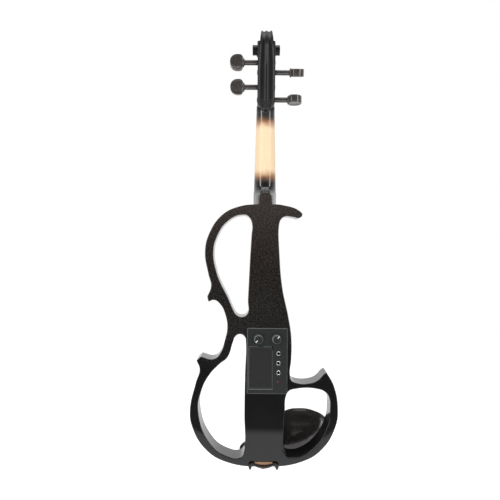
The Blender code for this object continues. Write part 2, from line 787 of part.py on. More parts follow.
def neck_shaft():
    """The neck's back, swelling into the heel."""
    heel = HEEL_HEIGHT
    high, middle = NECK_LENGTH * 0.85, NECK_LENGTH * 0.5
    rows = [
        (NECK_LENGTH + NUT_LENGTH + 0.003, NECK_THICKNESS, BOARD_NUT_WIDTH, BOARD_NUT_WIDTH * 0.92, 2.1),
        (high, NECK_THICKNESS, board_width(high), 0.0270, 2.1),
        (middle, NECK_THICKNESS + 0.0006, board_width(middle), 0.0280, 2.1),
        (heel + 0.022, NECK_THICKNESS + 0.0014, board_width(heel + 0.022), 0.0300, 2.2),
        (heel + 0.012, NECK_THICKNESS + 0.0034, board_width(heel + 0.012), 0.0290, 2.4),
        (heel + 0.006, NECK_THICKNESS + 0.0075, board_width(heel + 0.006), 0.0270, 2.7),
        (heel + 0.001, NECK_THICKNESS + 0.0165, HEEL_SIDE, 0.0230, 3.2),
        (heel - 0.003, glue_height(heel - 0.003) - HEEL_BUTTON - GAP, HEEL_SIDE, HEEL_WIDTH, 4.5),
        (GAP, glue_height(GAP) - HEEL_BUTTON - GAP, HEEL_SIDE, HEEL_WIDTH, 5.0),
    ]
    return loft_mesh("neck", [neck_section(*row) for row in rows])


# The scroll, one value for each quarter turn from the back of the pegbox inwards: the spiral's
# radius, and its half width as a share of the eye's
SCROLL_RADII = [0.0290, 0.0310, 0.0245, 0.0190, 0.0162, 0.0138, 0.0116, 0.0098, 0.0086, 0.0080]
SCROLL_RADII += [0.0077, 0.0075, 0.0073, 0.0072]
SCROLL_WIDTHS = [0.61, 0.33, 0.37, 0.49, 0.63, 0.65, 0.66, 0.68, 0.88, 1.0, 1.0, 1.0, 1.0, 1.0]
QUARTER = 6


def scroll_mesh():
    """A stepped spiral, wider at each turn inwards, ending in the eye."""
    work = bmesh.new()
    turn = 4 * QUARTER
    last = (len(SCROLL_RADII) - 1) * QUARTER

    def ring(i, side, radius_at):
        angle = math.pi - i / QUARTER * math.pi / 2
        radius = mixed(SCROLL_RADII, radius_at / QUARTER)
        width = mixed(SCROLL_WIDTHS, i / QUARTER) * EYE_WIDTH / 2
        y = EYE_DEPTH + radius * math.cos(angle)
        return work.verts.new((side * width, y, EYE_HEIGHT + radius * math.sin(angle)))

    sides = {}
    for side in (1, -1):
        outer = [ring(i, side, i) for i in range(last + 1)]
        inner = [ring(i, side, i + turn) for i in range(last - turn + 1)]
        for i in range(last - turn):
            work.faces.new((outer[i], outer[i + 1], inner[i + 1], inner[i]))
            work.faces.new((inner[i], inner[i + 1], outer[i + turn + 1], outer[i + turn]))
        eye = work.verts.new((outer[last].co.x, EYE_DEPTH, EYE_HEIGHT))
        work.faces.new((outer[last - turn], outer[last - turn + 1], eye, outer[last]))
        for i in range(last - turn + 1, last):
            work.faces.new((outer[i], outer[i + 1], eye))
        sides[side] = outer, inner
    (right, right_inner), (left, left_inner) = sides[1], sides[-1]
    for i in range(turn):
        work.faces.new((right[i], right[i + 1], left[i + 1], left[i]))
    work.faces.new((right[0], right_inner[0], right[turn], left[turn], left_inner[0], left[0]))
    return mesh_from("scroll", work)


def pegbox_profile():
    """The pegbox from the side: (depth, height) from the nut over its front to the scroll and back."""
    start = NECK_LENGTH + 0.0004
    scroll = EYE_HEIGHT + 0.0010
    back = [(0.0370, 0.0640), (0.0319, 0.0340), (0.0256, 0.0130), (0.0189, 0.0010)]
    return [
        (glue_height(start) - 0.0002, start, "corner"),
        (NUT_FRONT - 0.0118, PEGBOX_TOP, "corner"),
        (NUT_FRONT - 0.0174, scroll, "corner"),
        (NUT_FRONT - 0.0379, scroll, "corner"),
        *((NUT_FRONT - fall, NECK_LENGTH + rise) for fall, rise in back),
        (NUT_FRONT - 0.0099, NECK_LENGTH - 0.0070, "corner"),
    ]


def string_room_profile():
    """The hollow between the pegbox's cheeks, open to the front."""
    foot = NECK_LENGTH + NUT_LENGTH
    past = NUT_FRONT + 0.0126
    return [
        (past, foot + 0.0025, "corner"),
        (NUT_FRONT - 0.0199, foot + 0.0035, "corner"),
        (NUT_FRONT - 0.0264, foot + 0.0280, "corner"),
        (NUT_FRONT - 0.0309, foot + 0.0510, "corner"),
        (NUT_FRONT - 0.0314, PEGBOX_TOP - 0.0050, "corner"),
        (NUT_FRONT - 0.0264, PEGBOX_TOP, "corner"),
        (past, PEGBOX_TOP, "corner"),
    ]


def neck():
    made = place("neck", neck_shaft(), MAPLE)
    half = PEGBOX_WIDTH / 2
    past = half + 0.001
    chin = NECK_LENGTH - 0.0050
    box = place("pegbox", slab_mesh("pegbox", [pegbox_profile()], -half, half, "X", 5))
    heart = mirrored(
        [
            (0, chin, "corner"),
            (half * 0.45, chin + 0.0050),
            (past, chin + 0.0125, "corner"),
            (past, EYE_HEIGHT + 0.01, "corner"),
        ]
    )
    boolean(box, place("heart", slab_mesh("heart", [heart], NUT_FRONT - 0.06, NUT_FRONT + 0.03)), "INTERSECT")
    wide = half - PEGBOX_WALL
    string_room = place("string_room", slab_mesh("string_room", [string_room_profile()], -wide, wide, "X"))
    tenon = box_mesh(
        "tenon",
        (-TENON_WIDTH / 2, tenon_floor() + GAP, -TENON_LENGTH),
        (TENON_WIDTH / 2, FRONT - GAP, 0.004),
    )
    join(made, box, place("scroll", scroll_mesh()), place("tenon", tenon))
    cut(made, string_room)
    for name in PEG_PLACES:
        hole = rod_mesh("peg_hole_" + name, PEG_HOLE, -EYE_WIDTH, EYE_WIDTH, peg_place(name), (1, 0, 0))
        cut(made, place(hole.name, hole))
    return made


def board_section(z, crown, base, width, count=9):
    """Flat underneath, sides up to the arched top."""
    half = width / 2
    top = []
    for i in range(count):
        x = half - width * i / (count - 1)
        top.append((x, crown - sagitta(BOARD_RADIUS, x), z))
    return top + [(-half, base, z), (half, base, z)]


def fingerboard():
    sections = []
    for z in (NECK_LENGTH - GAP, BOARD_END):
        glue = glue_height(z)
        sections.append(board_section(z, glue + BOARD_CROWN, glue + GAP, board_width(z)))
    return place("fingerboard", loft_mesh("fingerboard", sections), EBONY)


def nut(notches):
    """The strings' rest at the board's end, falling away towards the pegbox."""
    low, high = NECK_LENGTH, NECK_LENGTH + NUT_LENGTH
    sections = []
    for z, fall in ((low, 0.0), (low + NUT_LENGTH / 2, 0.0), (high - 0.001, 0.0008), (high, 0.0025)):
        crown = NUT_FRONT + BOARD_CROWN + NUT_RISE - fall
        sections.append(board_section(z, crown, NUT_FRONT + GAP, BOARD_NUT_WIDTH, 7))
    made = place("nut", loft_mesh("nut", sections), EBONY)
    cut(made, *notches)
    return made


# The bridge's right half: shares of the half foot and of the height, from the arch between the feet
BRIDGE_ARCH = [(0, 0.268), (0.265, 0.219), (0.457, 0.110), (0.563, 0, "corner"), (1, 0, "corner")]
BRIDGE_SIDE = [(0.992, 0.038, "corner"), (0.759, 0.126), (0.678, 0.252), (0.759, 0.351), (0.816, 0.433)]
BRIDGE_SIDE += [(0.718, 0.499), (0.612, 0.548), (0.702, 0.658), (0.857, 0.781)]
BRIDGE_HEART = [(0, 0.397), (0.139, 0.488), (0.171, 0.597), (0, 0.564)]


def bridge(notches):
    foot = BRIDGE_FEET / 2
    base = FRONT + GAP
    tall = bridge_crown() - FRONT
    edge = foot * BRIDGE_SIDE[-1][0]

    def sized(knots):
        return [(x * foot, base + y * tall, *rest) for x, y, *rest in knots]

    outside = sized(BRIDGE_ARCH + BRIDGE_SIDE)
    outside += [(edge, bridge_top(edge), "corner"), (edge * 0.5, bridge_top(edge * 0.5)), (0, bridge_top(0))]
    outline = outside + [(-x, *rest) for x, *rest in reversed(outside[1:-1])]
    low, high = BRIDGE_Z - BRIDGE_BASE / 2, BRIDGE_Z + BRIDGE_BASE / 2
    mesh = slab_mesh("bridge", [outline, mirrored(sized(BRIDGE_HEART))], low, high, "Z")
    for vertex in mesh.vertices:
        share = (vertex.co.y - base) / tall
        vertex.co.z = between(vertex.co.z, BRIDGE_Z, BRIDGE_THINNING * share)
    made = place("bridge", mesh, BRIDGE_MAPLE)
    cut(made, *notches)
    return made


def bridge_pickup():
    """A thin strip let into the body under the bridge's feet."""
    low = (-BRIDGE_FEET / 2, FRONT - PICKUP_DEPTH + GAP, BRIDGE_Z - BRIDGE_BASE / 2)
    high = (BRIDGE_FEET / 2, FRONT - 0.0001, BRIDGE_Z + BRIDGE_BASE / 2)
    return place("bridge_pickup", box_mesh("bridge_pickup", low, high), PICKUP_BRASS)


def pickup_lead():
    x = lead_x()
    board = BOARD_LEVEL + BOARD_THICKNESS
    route = bent(
        [
            (x, FRONT - PICKUP_DEPTH, BRIDGE_Z),
            (x, CAVITY_DEPTH, BRIDGE_Z),
            (x + 0.0005, board + 0.0074, BRIDGE_Z - 0.0010),
            (x + 0.0005, board + 0.0014, BRIDGE_Z - 0.0020),
        ]
    )
    route.append(Vector((x + 0.0005, board + GAP, BRIDGE_Z - 0.0020)))
    mesh = swept_mesh("pickup_lead", route, [LEAD / 2] * len(route))
    return place("pickup_lead", mesh, LEAD_BLACK)


def tailpiece_section(z, width, count=9):
    half = width / 2
    crown = tail_height(z)
    points = []
    for i in range(count):
        x = half - width * i / (count - 1)
        points.append((x, crown - sagitta(TAILPIECE_RADIUS, x), z))
    under = [(x * 0.94, y - TAILPIECE_THICKNESS, z) for x, y, z in reversed(points)]
    return points + under


def tailpiece():
    """An arched plate that narrows to the gut, slotted and bored for the fine tuners."""
    rows = [
        (TAIL_START, TAILPIECE_TOP_WIDTH * 0.90),
        (TAIL_START - 0.004, TAILPIECE_TOP_WIDTH),
        (TAIL_START - TAILPIECE_LENGTH * 0.24, TAILPIECE_TOP_WIDTH * 0.97),
        (TAIL_START - TAILPIECE_LENGTH * 0.64, TAILPIECE_TOP_WIDTH * 0.66),
        (TAIL_END + 0.005, TAILPIECE_END_WIDTH),
        (TAIL_END, TAILPIECE_END_WIDTH * 0.85),
    ]
    mesh = loft_mesh("tailpiece", [tailpiece_section(*row) for row in rows])
    made = place("tailpiece", mesh, BLACK_PLASTIC)
    half = TUNER_SLOT / 2
    reach = TAILPIECE_THICKNESS * 4
    y = tail_height(TAIL_START)
    for name in STRING_DIAMETERS:
        x = tuner_x(name)
        slot = box_mesh(
            "slot_" + name,
            (x - half, y - reach, TAIL_START - 0.0125),
            (x + half, y + reach, TAIL_START - 0.0022),
        )
        place_of_bore = (x, y, TAIL_START - TUNER_SCREW_PLACE)
        bore = rod_mesh("bore_" + name, TUNER_SCREW / 2 + GAP, -reach, reach, place_of_bore, (0, 1, 0), 12)
        cut(made, place(slot.name, slot), place(bore.name, bore))
    return made


def tail_gut():
    """A loop from the tailpiece over the saddle and round the end button."""
    radius = GUT_DIAMETER / 2
    saddle_top = FRONT + SADDLE_RISE + GAP + radius
    around = BUTTON_SHANK / 2 + RUNNING_GAP + radius
    start = TAIL_END - GAP
    low = FOOT_END - GAP - radius - 0.0014
    side = [
        (GUT_SPREAD, tail_height(start) - TAILPIECE_THICKNESS / 2, start),
        (GUT_SPREAD, saddle_top + 0.0010, FOOT_END + SADDLE_LENGTH),
        (GUT_SPREAD, saddle_top - 0.0002, FOOT_END + 0.0012),
        (GUT_SPREAD, saddle_top - 0.0030, low),
        (GUT_SPREAD, BUTTON_HEIGHT + around + 0.006, low),
        (around, BUTTON_HEIGHT, low),
        (around * 0.7, BUTTON_HEIGHT - around * 0.7, low),
        (0, BUTTON_HEIGHT - around, low),
    ]
    route = bent(side + [(-x, y, z) for x, y, z in reversed(side[:-1])], 3)
    mesh = swept_mesh("tail_gut", route, [radius] * len(route), 6)
    return place("tail_gut", mesh, GUT_BLACK)


def saddle():
    half = SADDLE_WIDTH / 2
    low, high = FOOT_END - GAP, FOOT_END + SADDLE_LENGTH
    base, top = FRONT - SADDLE_SEAT + GAP, FRONT + SADDLE_RISE
    profile = [
        (base, low, "corner"),
        (base, high, "corner"),
        (FRONT + 0.0008, high, "corner"),
        (top - 0.0006, high - 0.0016),
        (top, high - 0.0032),
        (top - 0.0012, low + 0.0008),
    ]
    return place("saddle", slab_mesh("saddle", [profile], -half, half, "X"), EBONY)


def end_button():
    shank, head = BUTTON_SHANK / 2, BUTTON_DIAMETER / 2
    under, tip = -BUTTON_NECK, -BUTTON_NECK - BUTTON_HEAD
    profile = [
        (0, BUTTON_SHANK_LENGTH),
        (shank, BUTTON_SHANK_LENGTH),
        (shank, under),
        (head * 0.9, under - 0.0004),
        (head, under - 0.0014),
        (head * 0.86, tip + 0.0008),
        (head * 0.6, tip),
        (0, tip),
    ]
    mesh = turned_mesh("end_button", profile, (0, BUTTON_HEIGHT, FOOT_END), (0, 0, 1))
    return place("end_button", mesh, EBONY)


def peg(name, count=16):
    """Shaft through both cheeks, a collar and a flat thumb piece, about its own axis."""
    reach, turn, side = PEG_PLACES[name][2:]
    radius = PEG_SHAFT / 2
    cheek = PEGBOX_WIDTH / 2
    tall, thick, long = PEG_HEAD_HEIGHT / 2, PEG_HEAD_THICKNESS / 2, PEG_HEAD_LENGTH
    rows = [
        (-cheek - 0.0008, radius * PEG_TAPER, radius * PEG_TAPER),
        (-cheek - 0.0002, radius * 0.94, radius * 0.94),
        (cheek, radius, radius),
        (cheek + 0.0010, radius + 0.0002, radius + 0.0002),
        (reach - 0.0012, radius + 0.0001, radius + 0.0001),
        (reach, thick * 1.22, thick * 1.22),
        (reach + 0.0016, thick * 1.30, thick * 1.26),
        (reach + long * 0.12, tall * 0.66, thick * 1.02),
        (reach + long * 0.27, tall * 0.90, thick),
        (reach + long * 0.46, tall, thick),
        (reach + long * 0.66, tall * 0.93, thick * 0.98),
        (reach + long * 0.84, tall * 0.70, thick * 0.92),
        (reach + long * 0.95, tall * 0.40, thick * 0.78),
        (reach + long, tall * 0.12, thick * 0.40),
    ]
    cos, sin = math.cos(math.radians(turn)), math.sin(math.radians(turn))
    sections = []
    for x, up, out in rows:
        ring = []
        for i in range(count):
            angle = math.tau * i / count
            flat = Vector((math.cos(angle) * out, math.sin(angle) * up))
            ring.append((side * x, flat.x * cos - flat.y * sin, flat.x * sin + flat.y * cos))
        sections.append(ring)
    return place("peg_" + name, loft_mesh("peg_" + name, sections), EBONY, peg_place(name))


def winding(name):
    """The string's turns round the peg: one unbroken helix."""
    side = PEG_PLACES[name][-1]
    radius = STRING_DIAMETERS[name] / 2
    round_peg = PEG_SHAFT / 2 + GAP + radius
    pitch = 2 * radius + WINDING_GAP
    per_turn = 24
    points = []
    for i in range(per_turn * WINDING_TURNS + 1):
        angle = math.tau * i / per_turn
        x = side * (WINDING_START - pitch * i / per_turn)
        points.append(Vector((x, math.cos(angle) * round_peg, math.sin(angle) * round_peg)))
    half_turn = per_turn // 2
    gap = min((a - b).length for i, a in enumerate(points) for b in points[i + half_turn :]) - 2 * radius
    print(f"winding_{name}: least gap to itself {gap * 1000:.2f} mm")
    curve = bpy.data.curves.new("winding_" + name, "CURVE")
    curve.dimensions = "3D"
    curve.bevel_depth = radius
    curve.bevel_resolution = 1
    curve.use_fill_caps = True
    spline = curve.splines.new("POLY")
    spline.points.add(len(points) - 1)
    for point, co in zip(spline.points, points):
        point.co = (*co, 1)
    curve.materials.append(finish_of("winding_" + name, STEEL))
    return place("winding_" + name, curve, None, peg_place(name))


def string(name):
    tail, bridge_point, nut_point, landing, radius = string_route(name)
    ball = STRING_BALL / 2
    way = (bridge_point - tail).normalized()
    sphere = [(-1, 0.3), (-0.6, 0.8), (0, 1), (0.6, 0.8)]
    points = [tail + way * ball * along for along, wide in sphere]
    radii = [ball * wide for along, wide in sphere]
    droop = (nut_point + landing) / 2 + Vector((0, 0.0004, 0))
    points += [tail + way * ball * 0.9, tail + way * ball * 1.2, bridge_point, nut_point, droop, landing]
    radii += [radius] * (len(points) - len(radii))
    return place("string_" + name, swept_mesh("string_" + name, points, radii), STEEL)


def tuner_x(name):
    return string_x(name, BRIDGE_SPACING) * TUNER_SPREAD


def tuner_screw(name):
    x, z = tuner_x(name), TAIL_START - TUNER_SCREW_PLACE
    shaft, head = TUNER_SCREW / 2, TUNER_HEAD / 2
    low = -TAILPIECE_THICKNESS - 0.0012
    profile = [
        (0, low),
        (shaft, low),
        (shaft, 0.0040),
        (head * 0.85, 0.0042),
        (head, 0.0048),
        (head, 0.0070),
        (head * 0.85, 0.0076),
        (0, 0.0078),
    ]
    mesh = turned_mesh("tuner_screw_" + name, profile, (0, 0, 0), (0, 1, 0), 12)
    return place(mesh.name, mesh, STEEL, (x, tail_top(x, z), z))


def tuner_lever(name):
    """A bent lever: a forked hook up through the slot, and an arm back under the screw."""
    x, z = tuner_x(name), TAIL_START - TUNER_PIVOT_PLACE
    y = tail_top(x, z) - TAILPIECE_THICKNESS - 0.0012
    half = TUNER_LEVER / 2
    top = tail_top(x, TAIL_START) + 0.0030 - y
    screw = TUNER_SCREW_PLACE - TUNER_PIVOT_PLACE + 0.0030
    profile = [
        (top, 0.0048, "corner"),
        (0.0006, 0.0044, "corner"),
        (-0.0016, 0.0020, "corner"),
        (-0.0024, -0.0040, "corner"),
        (-0.0042, -screw, "corner"),
        (-0.0028, -screw, "corner"),
        (-0.0006, -0.0030, "corner"),
        (0.0012, 0.0016, "corner"),
        (top, 0.0026, "corner"),
    ]
    mesh = slab_mesh("tuner_lever_" + name, [profile], -half, half, "X")
    made = place(mesh.name, mesh, STEEL, (x, y, z))
    slot = STRING_DIAMETERS[name] / 2 + RUNNING_GAP
    fork = box_mesh("fork_" + name, (-slot, top - 0.0038, 0), (slot, top + 0.002, 0.01))
    cut(made, place(fork.name, fork, None, (x, y, z)))
    return made


# The chinrest seen along its depth: (across, above the body's lower edge)
REST_EDGE = [(-0.0345, -0.0035), (-0.0385, 0.0080), (-0.0325, 0.0240), (0.0, 0.0365), (0.0350, 0.0684)]
REST_EDGE += [(0.0610, 0.0736), (0.0850, 0.0696), (0.1030, 0.0594), (0.1100, 0.0470), (0.1090, 0.0350)]
REST_EDGE += [(0.0950, 0.0180), (0.0700, 0.0045), (0.0400, -0.0035), (0.0, -0.0055)]
REST_BLOCK = [(-0.0315, 0.0), (-0.0350, 0.0080), (-0.0295, 0.0212), (0.0, 0.0330), (0.0240, 0.0400)]
REST_BLOCK += [(0.0310, 0.0280), (0.0305, 0.0040), (0.0200, -0.0015), (0.0, -0.0027)]
CUP_EDGE = [(0.0225, 0.0200), (0.0225, 0.0400), (0.0270, 0.0545), (0.0385, 0.0665), (0.0610, 0.0708)]
CUP_EDGE += [(0.0835, 0.0668), (0.0985, 0.0575), (0.1040, 0.0460), (0.0960, 0.0320), (0.0720, 0.0145)]
CUP_EDGE += [(0.0450, 0.0055), (0.0290, 0.0080)]
CUP_CENTRE = (0.0590, 0.0410)
CUP_HALF = (0.0350, 0.0270)
CUP_RINGS = 7
CUP_FULLNESS = 0.75


def from_foot(knots):
    return [(x, FOOT_END + z) for x, z in knots]


def cup_mesh():
    """The cup's rounded underside, each ring smaller and further from the rim."""
    edge = bent_round([(x, 0, z) for x, z in from_foot(CUP_EDGE)])
    middle = Vector((CUP_CENTRE[0], 0, FOOT_END + CUP_CENTRE[1]))
    rim = REST_TOP - CHINREST_RIM
    sections = [[point + Vector((0, rim + 0.001, 0)) for point in edge]]
    for step in range(CUP_RINGS):
        angle = math.pi / 2 * step / CUP_RINGS
        share = math.cos(angle) ** CUP_FULLNESS
        y = rim - CUP_FALL * math.sin(angle)
        sections.append([middle + (point - middle) * share + Vector((0, y, 0)) for point in edge])
    return loft_mesh("cup", sections)


def chinrest():
    """A cup beside the tailpiece, its rim carried over the tailpiece to two feet."""
    rim = slab_mesh("chinrest", [from_foot(REST_EDGE)], REST_TOP - CHINREST_RIM, REST_TOP, "Y", 4)
    made = place("chinrest", rim, EBONY)
    round_edges(made, BODY_EDGE)
    block = slab_mesh("rest_block", [from_foot(REST_BLOCK)], REST_UNDERSIDE, REST_TOP - 0.001)
    dish = bmesh.new()
    bmesh.ops.create_uvsphere(dish, u_segments=24, v_segments=12, radius=1)
    bmesh.ops.scale(dish, vec=(*CUP_HALF, CUP_DISH), verts=dish.verts)
    bmesh.ops.rotate(dish, cent=(0, 0, 0), matrix=Matrix.Rotation(math.pi / 2, 3, "X"), verts=dish.verts)
    centre = (CUP_CENTRE[0], REST_TOP + 0.0007, FOOT_END + CUP_CENTRE[1])
    bmesh.ops.translate(dish, vec=centre, verts=dish.verts)
    half = TAILPIECE_END_WIDTH * 0.75
    arch = box_mesh("arch", (-half, 0, FOOT_END - 0.02), (half, FRONT + CHINREST_ARCH_RISE, TAIL_START))
    join(made, place(block.name, block), place("cup", cup_mesh()))
    for side in (1, -1):
        low, high = rest_foot_box(side, 0)
        foot_low, foot_high = FRONT + 2 * GAP + CORK, REST_TOP - 0.01
        foot = box_mesh(f"rest_foot_{side}", (low[0], foot_low, low[1]), (high[0], foot_high, high[1]))
        join(made, place(foot.name, foot))
    cut(made, place("dish", mesh_from("dish", dish)), place(arch.name, arch))
    return made


def rest_foot_box(side, margin):
    """A foot's (across, height) corners, drawn in by the margin from above and below."""
    near, far = side * (CLAMP_SPREAD / 2 - 0.0045), side * (CLAMP_SPREAD / 2 + 0.0088)
    low, high = FOOT_END + 0.0085 + margin, FOOT_END + 0.0215 - margin
    return (min(near, far), low), (max(near, far), high)


def rest_cork(name, side):
    low, high = rest_foot_box(side, 0.0005)
    mesh = box_mesh(name, (low[0], FRONT + GAP, low[1]), (high[0], FRONT + GAP + CORK, high[1]))
    return place(name, mesh, CORK_BROWN)


def clamp_foot():
    """A thin plate curved like a smile on the back, a lip under the edge, and two bent rods."""
    half = FOOT_WIDTH / 2
    back = -GAP - CORK - GAP
    top, low = FOOT_END + FOOT_RISE, FOOT_END - GAP - FOOT_PLATE
    outline = mirrored([(0, low), (half * 0.55, low + 0.0008), (half, low + 0.0034, "corner")])
    outline = outline[:3] + [(half, top + 0.0014, "corner"), (half * 0.55, top + 0.0004), (0, top)]
    outline += [(-x, *rest) for x, *rest in reversed(outline[1:5])]
    plate = slab_mesh("clamp_foot", [outline], back - FOOT_PLATE, back, "Y", 4)
    made = place("clamp_foot", plate, BLACK_STEEL)
    lip = FOOT_LIP_WIDTH / 2
    flange = box_mesh(
        "foot_lip",
        (-lip, back - FOOT_PLATE * 0.9, low),
        (lip, FOOT_LIP_REACH, low + FOOT_PLATE),
    )
    join(made, place(flange.name, flange))
    post = CLAMP_SPREAD / 2
    depth = back - CLAMP_ROD / 2
    rod_end = FRONT / 2 - BARREL_LENGTH / 2 + CLAMP_THREAD
    for side in (1, -1):
        route = bent(
            [
                (side * post, rod_end, CLAMP_LEVEL),
                (side * post, 0.0045, CLAMP_LEVEL),
                (side * (post + 0.0002), depth + 0.0026, CLAMP_LEVEL + 0.0006),
                (side * (post + 0.0010), depth, CLAMP_LEVEL + 0.0036),
                (side * (post + 0.0012), depth, CLAMP_LEVEL + 0.0066),
                (side * (post - 0.0014), depth, CLAMP_LEVEL + 0.0090),
                (side * (post - 0.0048), depth, CLAMP_LEVEL + 0.0088),
                (side * (half - 0.0024), depth, CLAMP_LEVEL + 0.0070),
            ],
            3,
        )
        arm = swept_mesh(f"clamp_arm_{side}", route, [CLAMP_ROD / 2] * len(route))
        join(made, place(arm.name, arm))
    return made


def foot_cork():
    """A strip on the back under the foot's plate, standing out above it."""
    half = FOOT_WIDTH / 2 - 0.0004
    low, top = FOOT_END + 0.0012, FOOT_END + FOOT_CORK_RISE
    outline = [(-half, low + 0.0012), (0, low), (half, low + 0.0012)]
    outline += [(half, top, "corner"), (-half, top, "corner")]
    return place("foot_cork", slab_mesh("foot_cork", [outline], -GAP - CORK, -GAP), CORK_BROWN)


def clamp_bracket(name, side):
    """Threaded rod up from the barrel, with a plate under the chinrest's edge."""
    post = side * CLAMP_SPREAD / 2
    top = REST_UNDERSIDE - GAP
    plate = box_mesh(
        name,
        (post - 0.0050, top - BRACKET_PLATE, FOOT_END - 0.0050),
        (post + 0.0050, top, FOOT_END + 0.0070),
    )
    made = place(name, plate, STEEL)
    start = FRONT / 2 + BARREL_LENGTH / 2 - CLAMP_THREAD
    rod = rod_mesh("rod_" + name, CLAMP_ROD / 2, start, top - 0.0004, (post, 0, CLAMP_LEVEL), (0, 1, 0), 10)
    join(made, place(rod.name, rod))
    return made


def clamp_barrel(name, side):
    """A threaded tube, with a hole across it for the key that turns it."""
    bore = CLAMP_ROD / 2 + RUNNING_GAP
    outer, half = BARREL_DIAMETER / 2, BARREL_LENGTH / 2
    profile = [(bore, -half), (outer, -half), (outer, half), (bore, half), (bore, -half)]
    at = (side * CLAMP_SPREAD / 2, FRONT / 2, CLAMP_LEVEL)
    made = place(name, turned_mesh(name, profile, (0, 0, 0), (0, 1, 0), 18), STEEL, at)
    key = rod_mesh("key_" + name, BARREL_KEY / 2, -0.01, 0.01, (0, 0, 0), (0, 0, 1), 10)
    cut(made, place(key.name, key, None, at))
    return made


def control_panel():
    """The plate in the back, with the battery's tray behind it and the door's recess before it."""
    plate = box_mesh(
        "control_panel",
        (PANEL_LEFT, -PANEL_PROUD, PANEL_LOW),
        (PANEL_RIGHT, PANEL_SEAT, PANEL_HIGH),
    )
    made = place("control_panel", plate, BLACK_PLASTIC)
    round_edges(made, PANEL_EDGE)
    low = Vector((DOOR_MIDDLE - TRAY_HALF, PANEL_SEAT, TRAY_LOW))
    high = Vector((DOOR_MIDDLE + TRAY_HALF, TRAY_DEPTH, TRAY_HIGH))
    wall = Vector((TRAY_WALL, TRAY_WALL, TRAY_WALL))
    tray = box_mesh("tray", (low.x - TRAY_WALL, low.y - 0.0005, low.z - TRAY_WALL), high + wall)
    join(made, place(tray.name, tray))
    room = box_mesh("tray_room", (low.x, -0.01, low.z), high)
    roll = DOOR_HINGE / 2 + GAP
    behind = -PANEL_PROUD + DOOR_THICKNESS + GAP
    profile = [
        (-0.01, HINGE_Z - roll, "corner"),
        (HINGE_Y + roll, HINGE_Z - roll, "corner"),
        (HINGE_Y + roll, HINGE_Z + roll, "corner"),
        (behind, HINGE_Z + roll, "corner"),
        (behind, DOOR_HIGH + GAP, "corner"),
        (-0.01, DOOR_HIGH + GAP, "corner"),
    ]
    recess = slab_mesh("door_recess", [profile], DOOR_LEFT - GAP, DOOR_RIGHT + GAP, "X")
    reach = DOOR_WIDTH / 2 + DOOR_PIN + GAP
    hinge = (DOOR_MIDDLE, HINGE_Y, HINGE_Z)
    pins = rod_mesh("hinge_holes", DOOR_PIN / 2 + GAP, -reach, reach, hinge, (1, 0, 0), 10)
    room_for_lead = Vector((0.0030, LEAD / 2 + RUNNING_GAP, LEAD / 2 + RUNNING_GAP))
    notch = lead_notch_centre()
    lead_notch = box_mesh("lead_notch", notch - room_for_lead, notch + room_for_lead)
    for mesh in (room, recess, pins, lead_notch):
        cut(made, place(mesh.name, mesh))
    holes = [(*knob_place(name), KNOB_SHAFT / 2 + 0.0008) for name in KNOB_PLACES]
    holes += [(SOCKET_X, PANEL_HIGH - fall, SOCKET_BARREL / 2 + GAP) for fall in SOCKET_FALLS.values()]
    holes += [(*lamp_place(), LAMP_DIAMETER / 2 + GAP)]
    for number, (x, z, radius) in enumerate(holes):
        bore = rod_mesh(f"panel_hole_{number}", radius, -0.01, 0.01, (x, 0, z), (0, 1, 0))
        cut(made, place(bore.name, bore))
    return made


def knob_place(name):
    """A knob's (across, height)."""
    return PANEL_CENTRE_X + KNOB_PLACES[name][0], PANEL_HIGH - KNOB_FALL


def lamp_place():
    return PANEL_RIGHT - LAMP_MARGIN, PANEL_HIGH - LAMP_FALL


def lead_notch_centre():
    """Where the battery's lead leaves the tray."""
    return Vector((DOOR_MIDDLE + TRAY_HALF + TRAY_WALL / 2, TRAY_DEPTH - 0.0045, TRAY_HIGH - 0.0045))


def battery_door():
    """A plate with a rolled lower edge, two stub pins and a latch tongue."""
    hinge = (DOOR_MIDDLE, HINGE_Y, HINGE_Z)
    half, high = DOOR_WIDTH / 2, DOOR_HIGH - HINGE_Z
    outside = -PANEL_PROUD - HINGE_Y
    plate = box_mesh("battery_door", (-half, outside, 0.0004), (half, outside + DOOR_THICKNESS, high))
    made = place("battery_door", plate, BLACK_PLASTIC, hinge)
    roll = rod_mesh("door_roll", DOOR_HINGE / 2, -half, half, (0, 0, 0), (1, 0, 0), 12)
    pins = rod_mesh("door_pins", DOOR_PIN / 2, -half - DOOR_PIN, half + DOOR_PIN, (0, 0, 0), (1, 0, 0), 8)
    tongue = box_mesh("door_tongue", (-0.004, 0, high - 0.0046), (0.004, 0.0026, high - 0.0036))
    for mesh in (roll, pins, tongue):
        join(made, place(mesh.name, mesh, None, hinge))
    return made


def battery_middle():
    """The middle of the battery's upper end."""
    y = TRAY_DEPTH - GAP - BATTERY_THICKNESS / 2
    return Vector((DOOR_MIDDLE, y, TRAY_LOW + 2 * GAP + BATTERY_HEIGHT))


def battery():
    top = battery_middle()
    half = Vector((BATTERY_WIDTH / 2, BATTERY_THICKNESS / 2, 0))
    mesh = box_mesh("battery", top - half - Vector((0, 0, BATTERY_HEIGHT)), top + half)
    made = place("battery", mesh, BATTERY_GREY)
    round_edges(made, 0.0018, 2)
    for side in (-1, 1):
        centre = top + Vector((side * STUD_SPACING / 2, 0, 0))
        stud = rod_mesh(f"stud_{side}", STUD_DIAMETER / 2, -0.001, STUD_HEIGHT, centre, (0, 0, 1), 12)
        join(made, place(stud.name, stud))
    return made


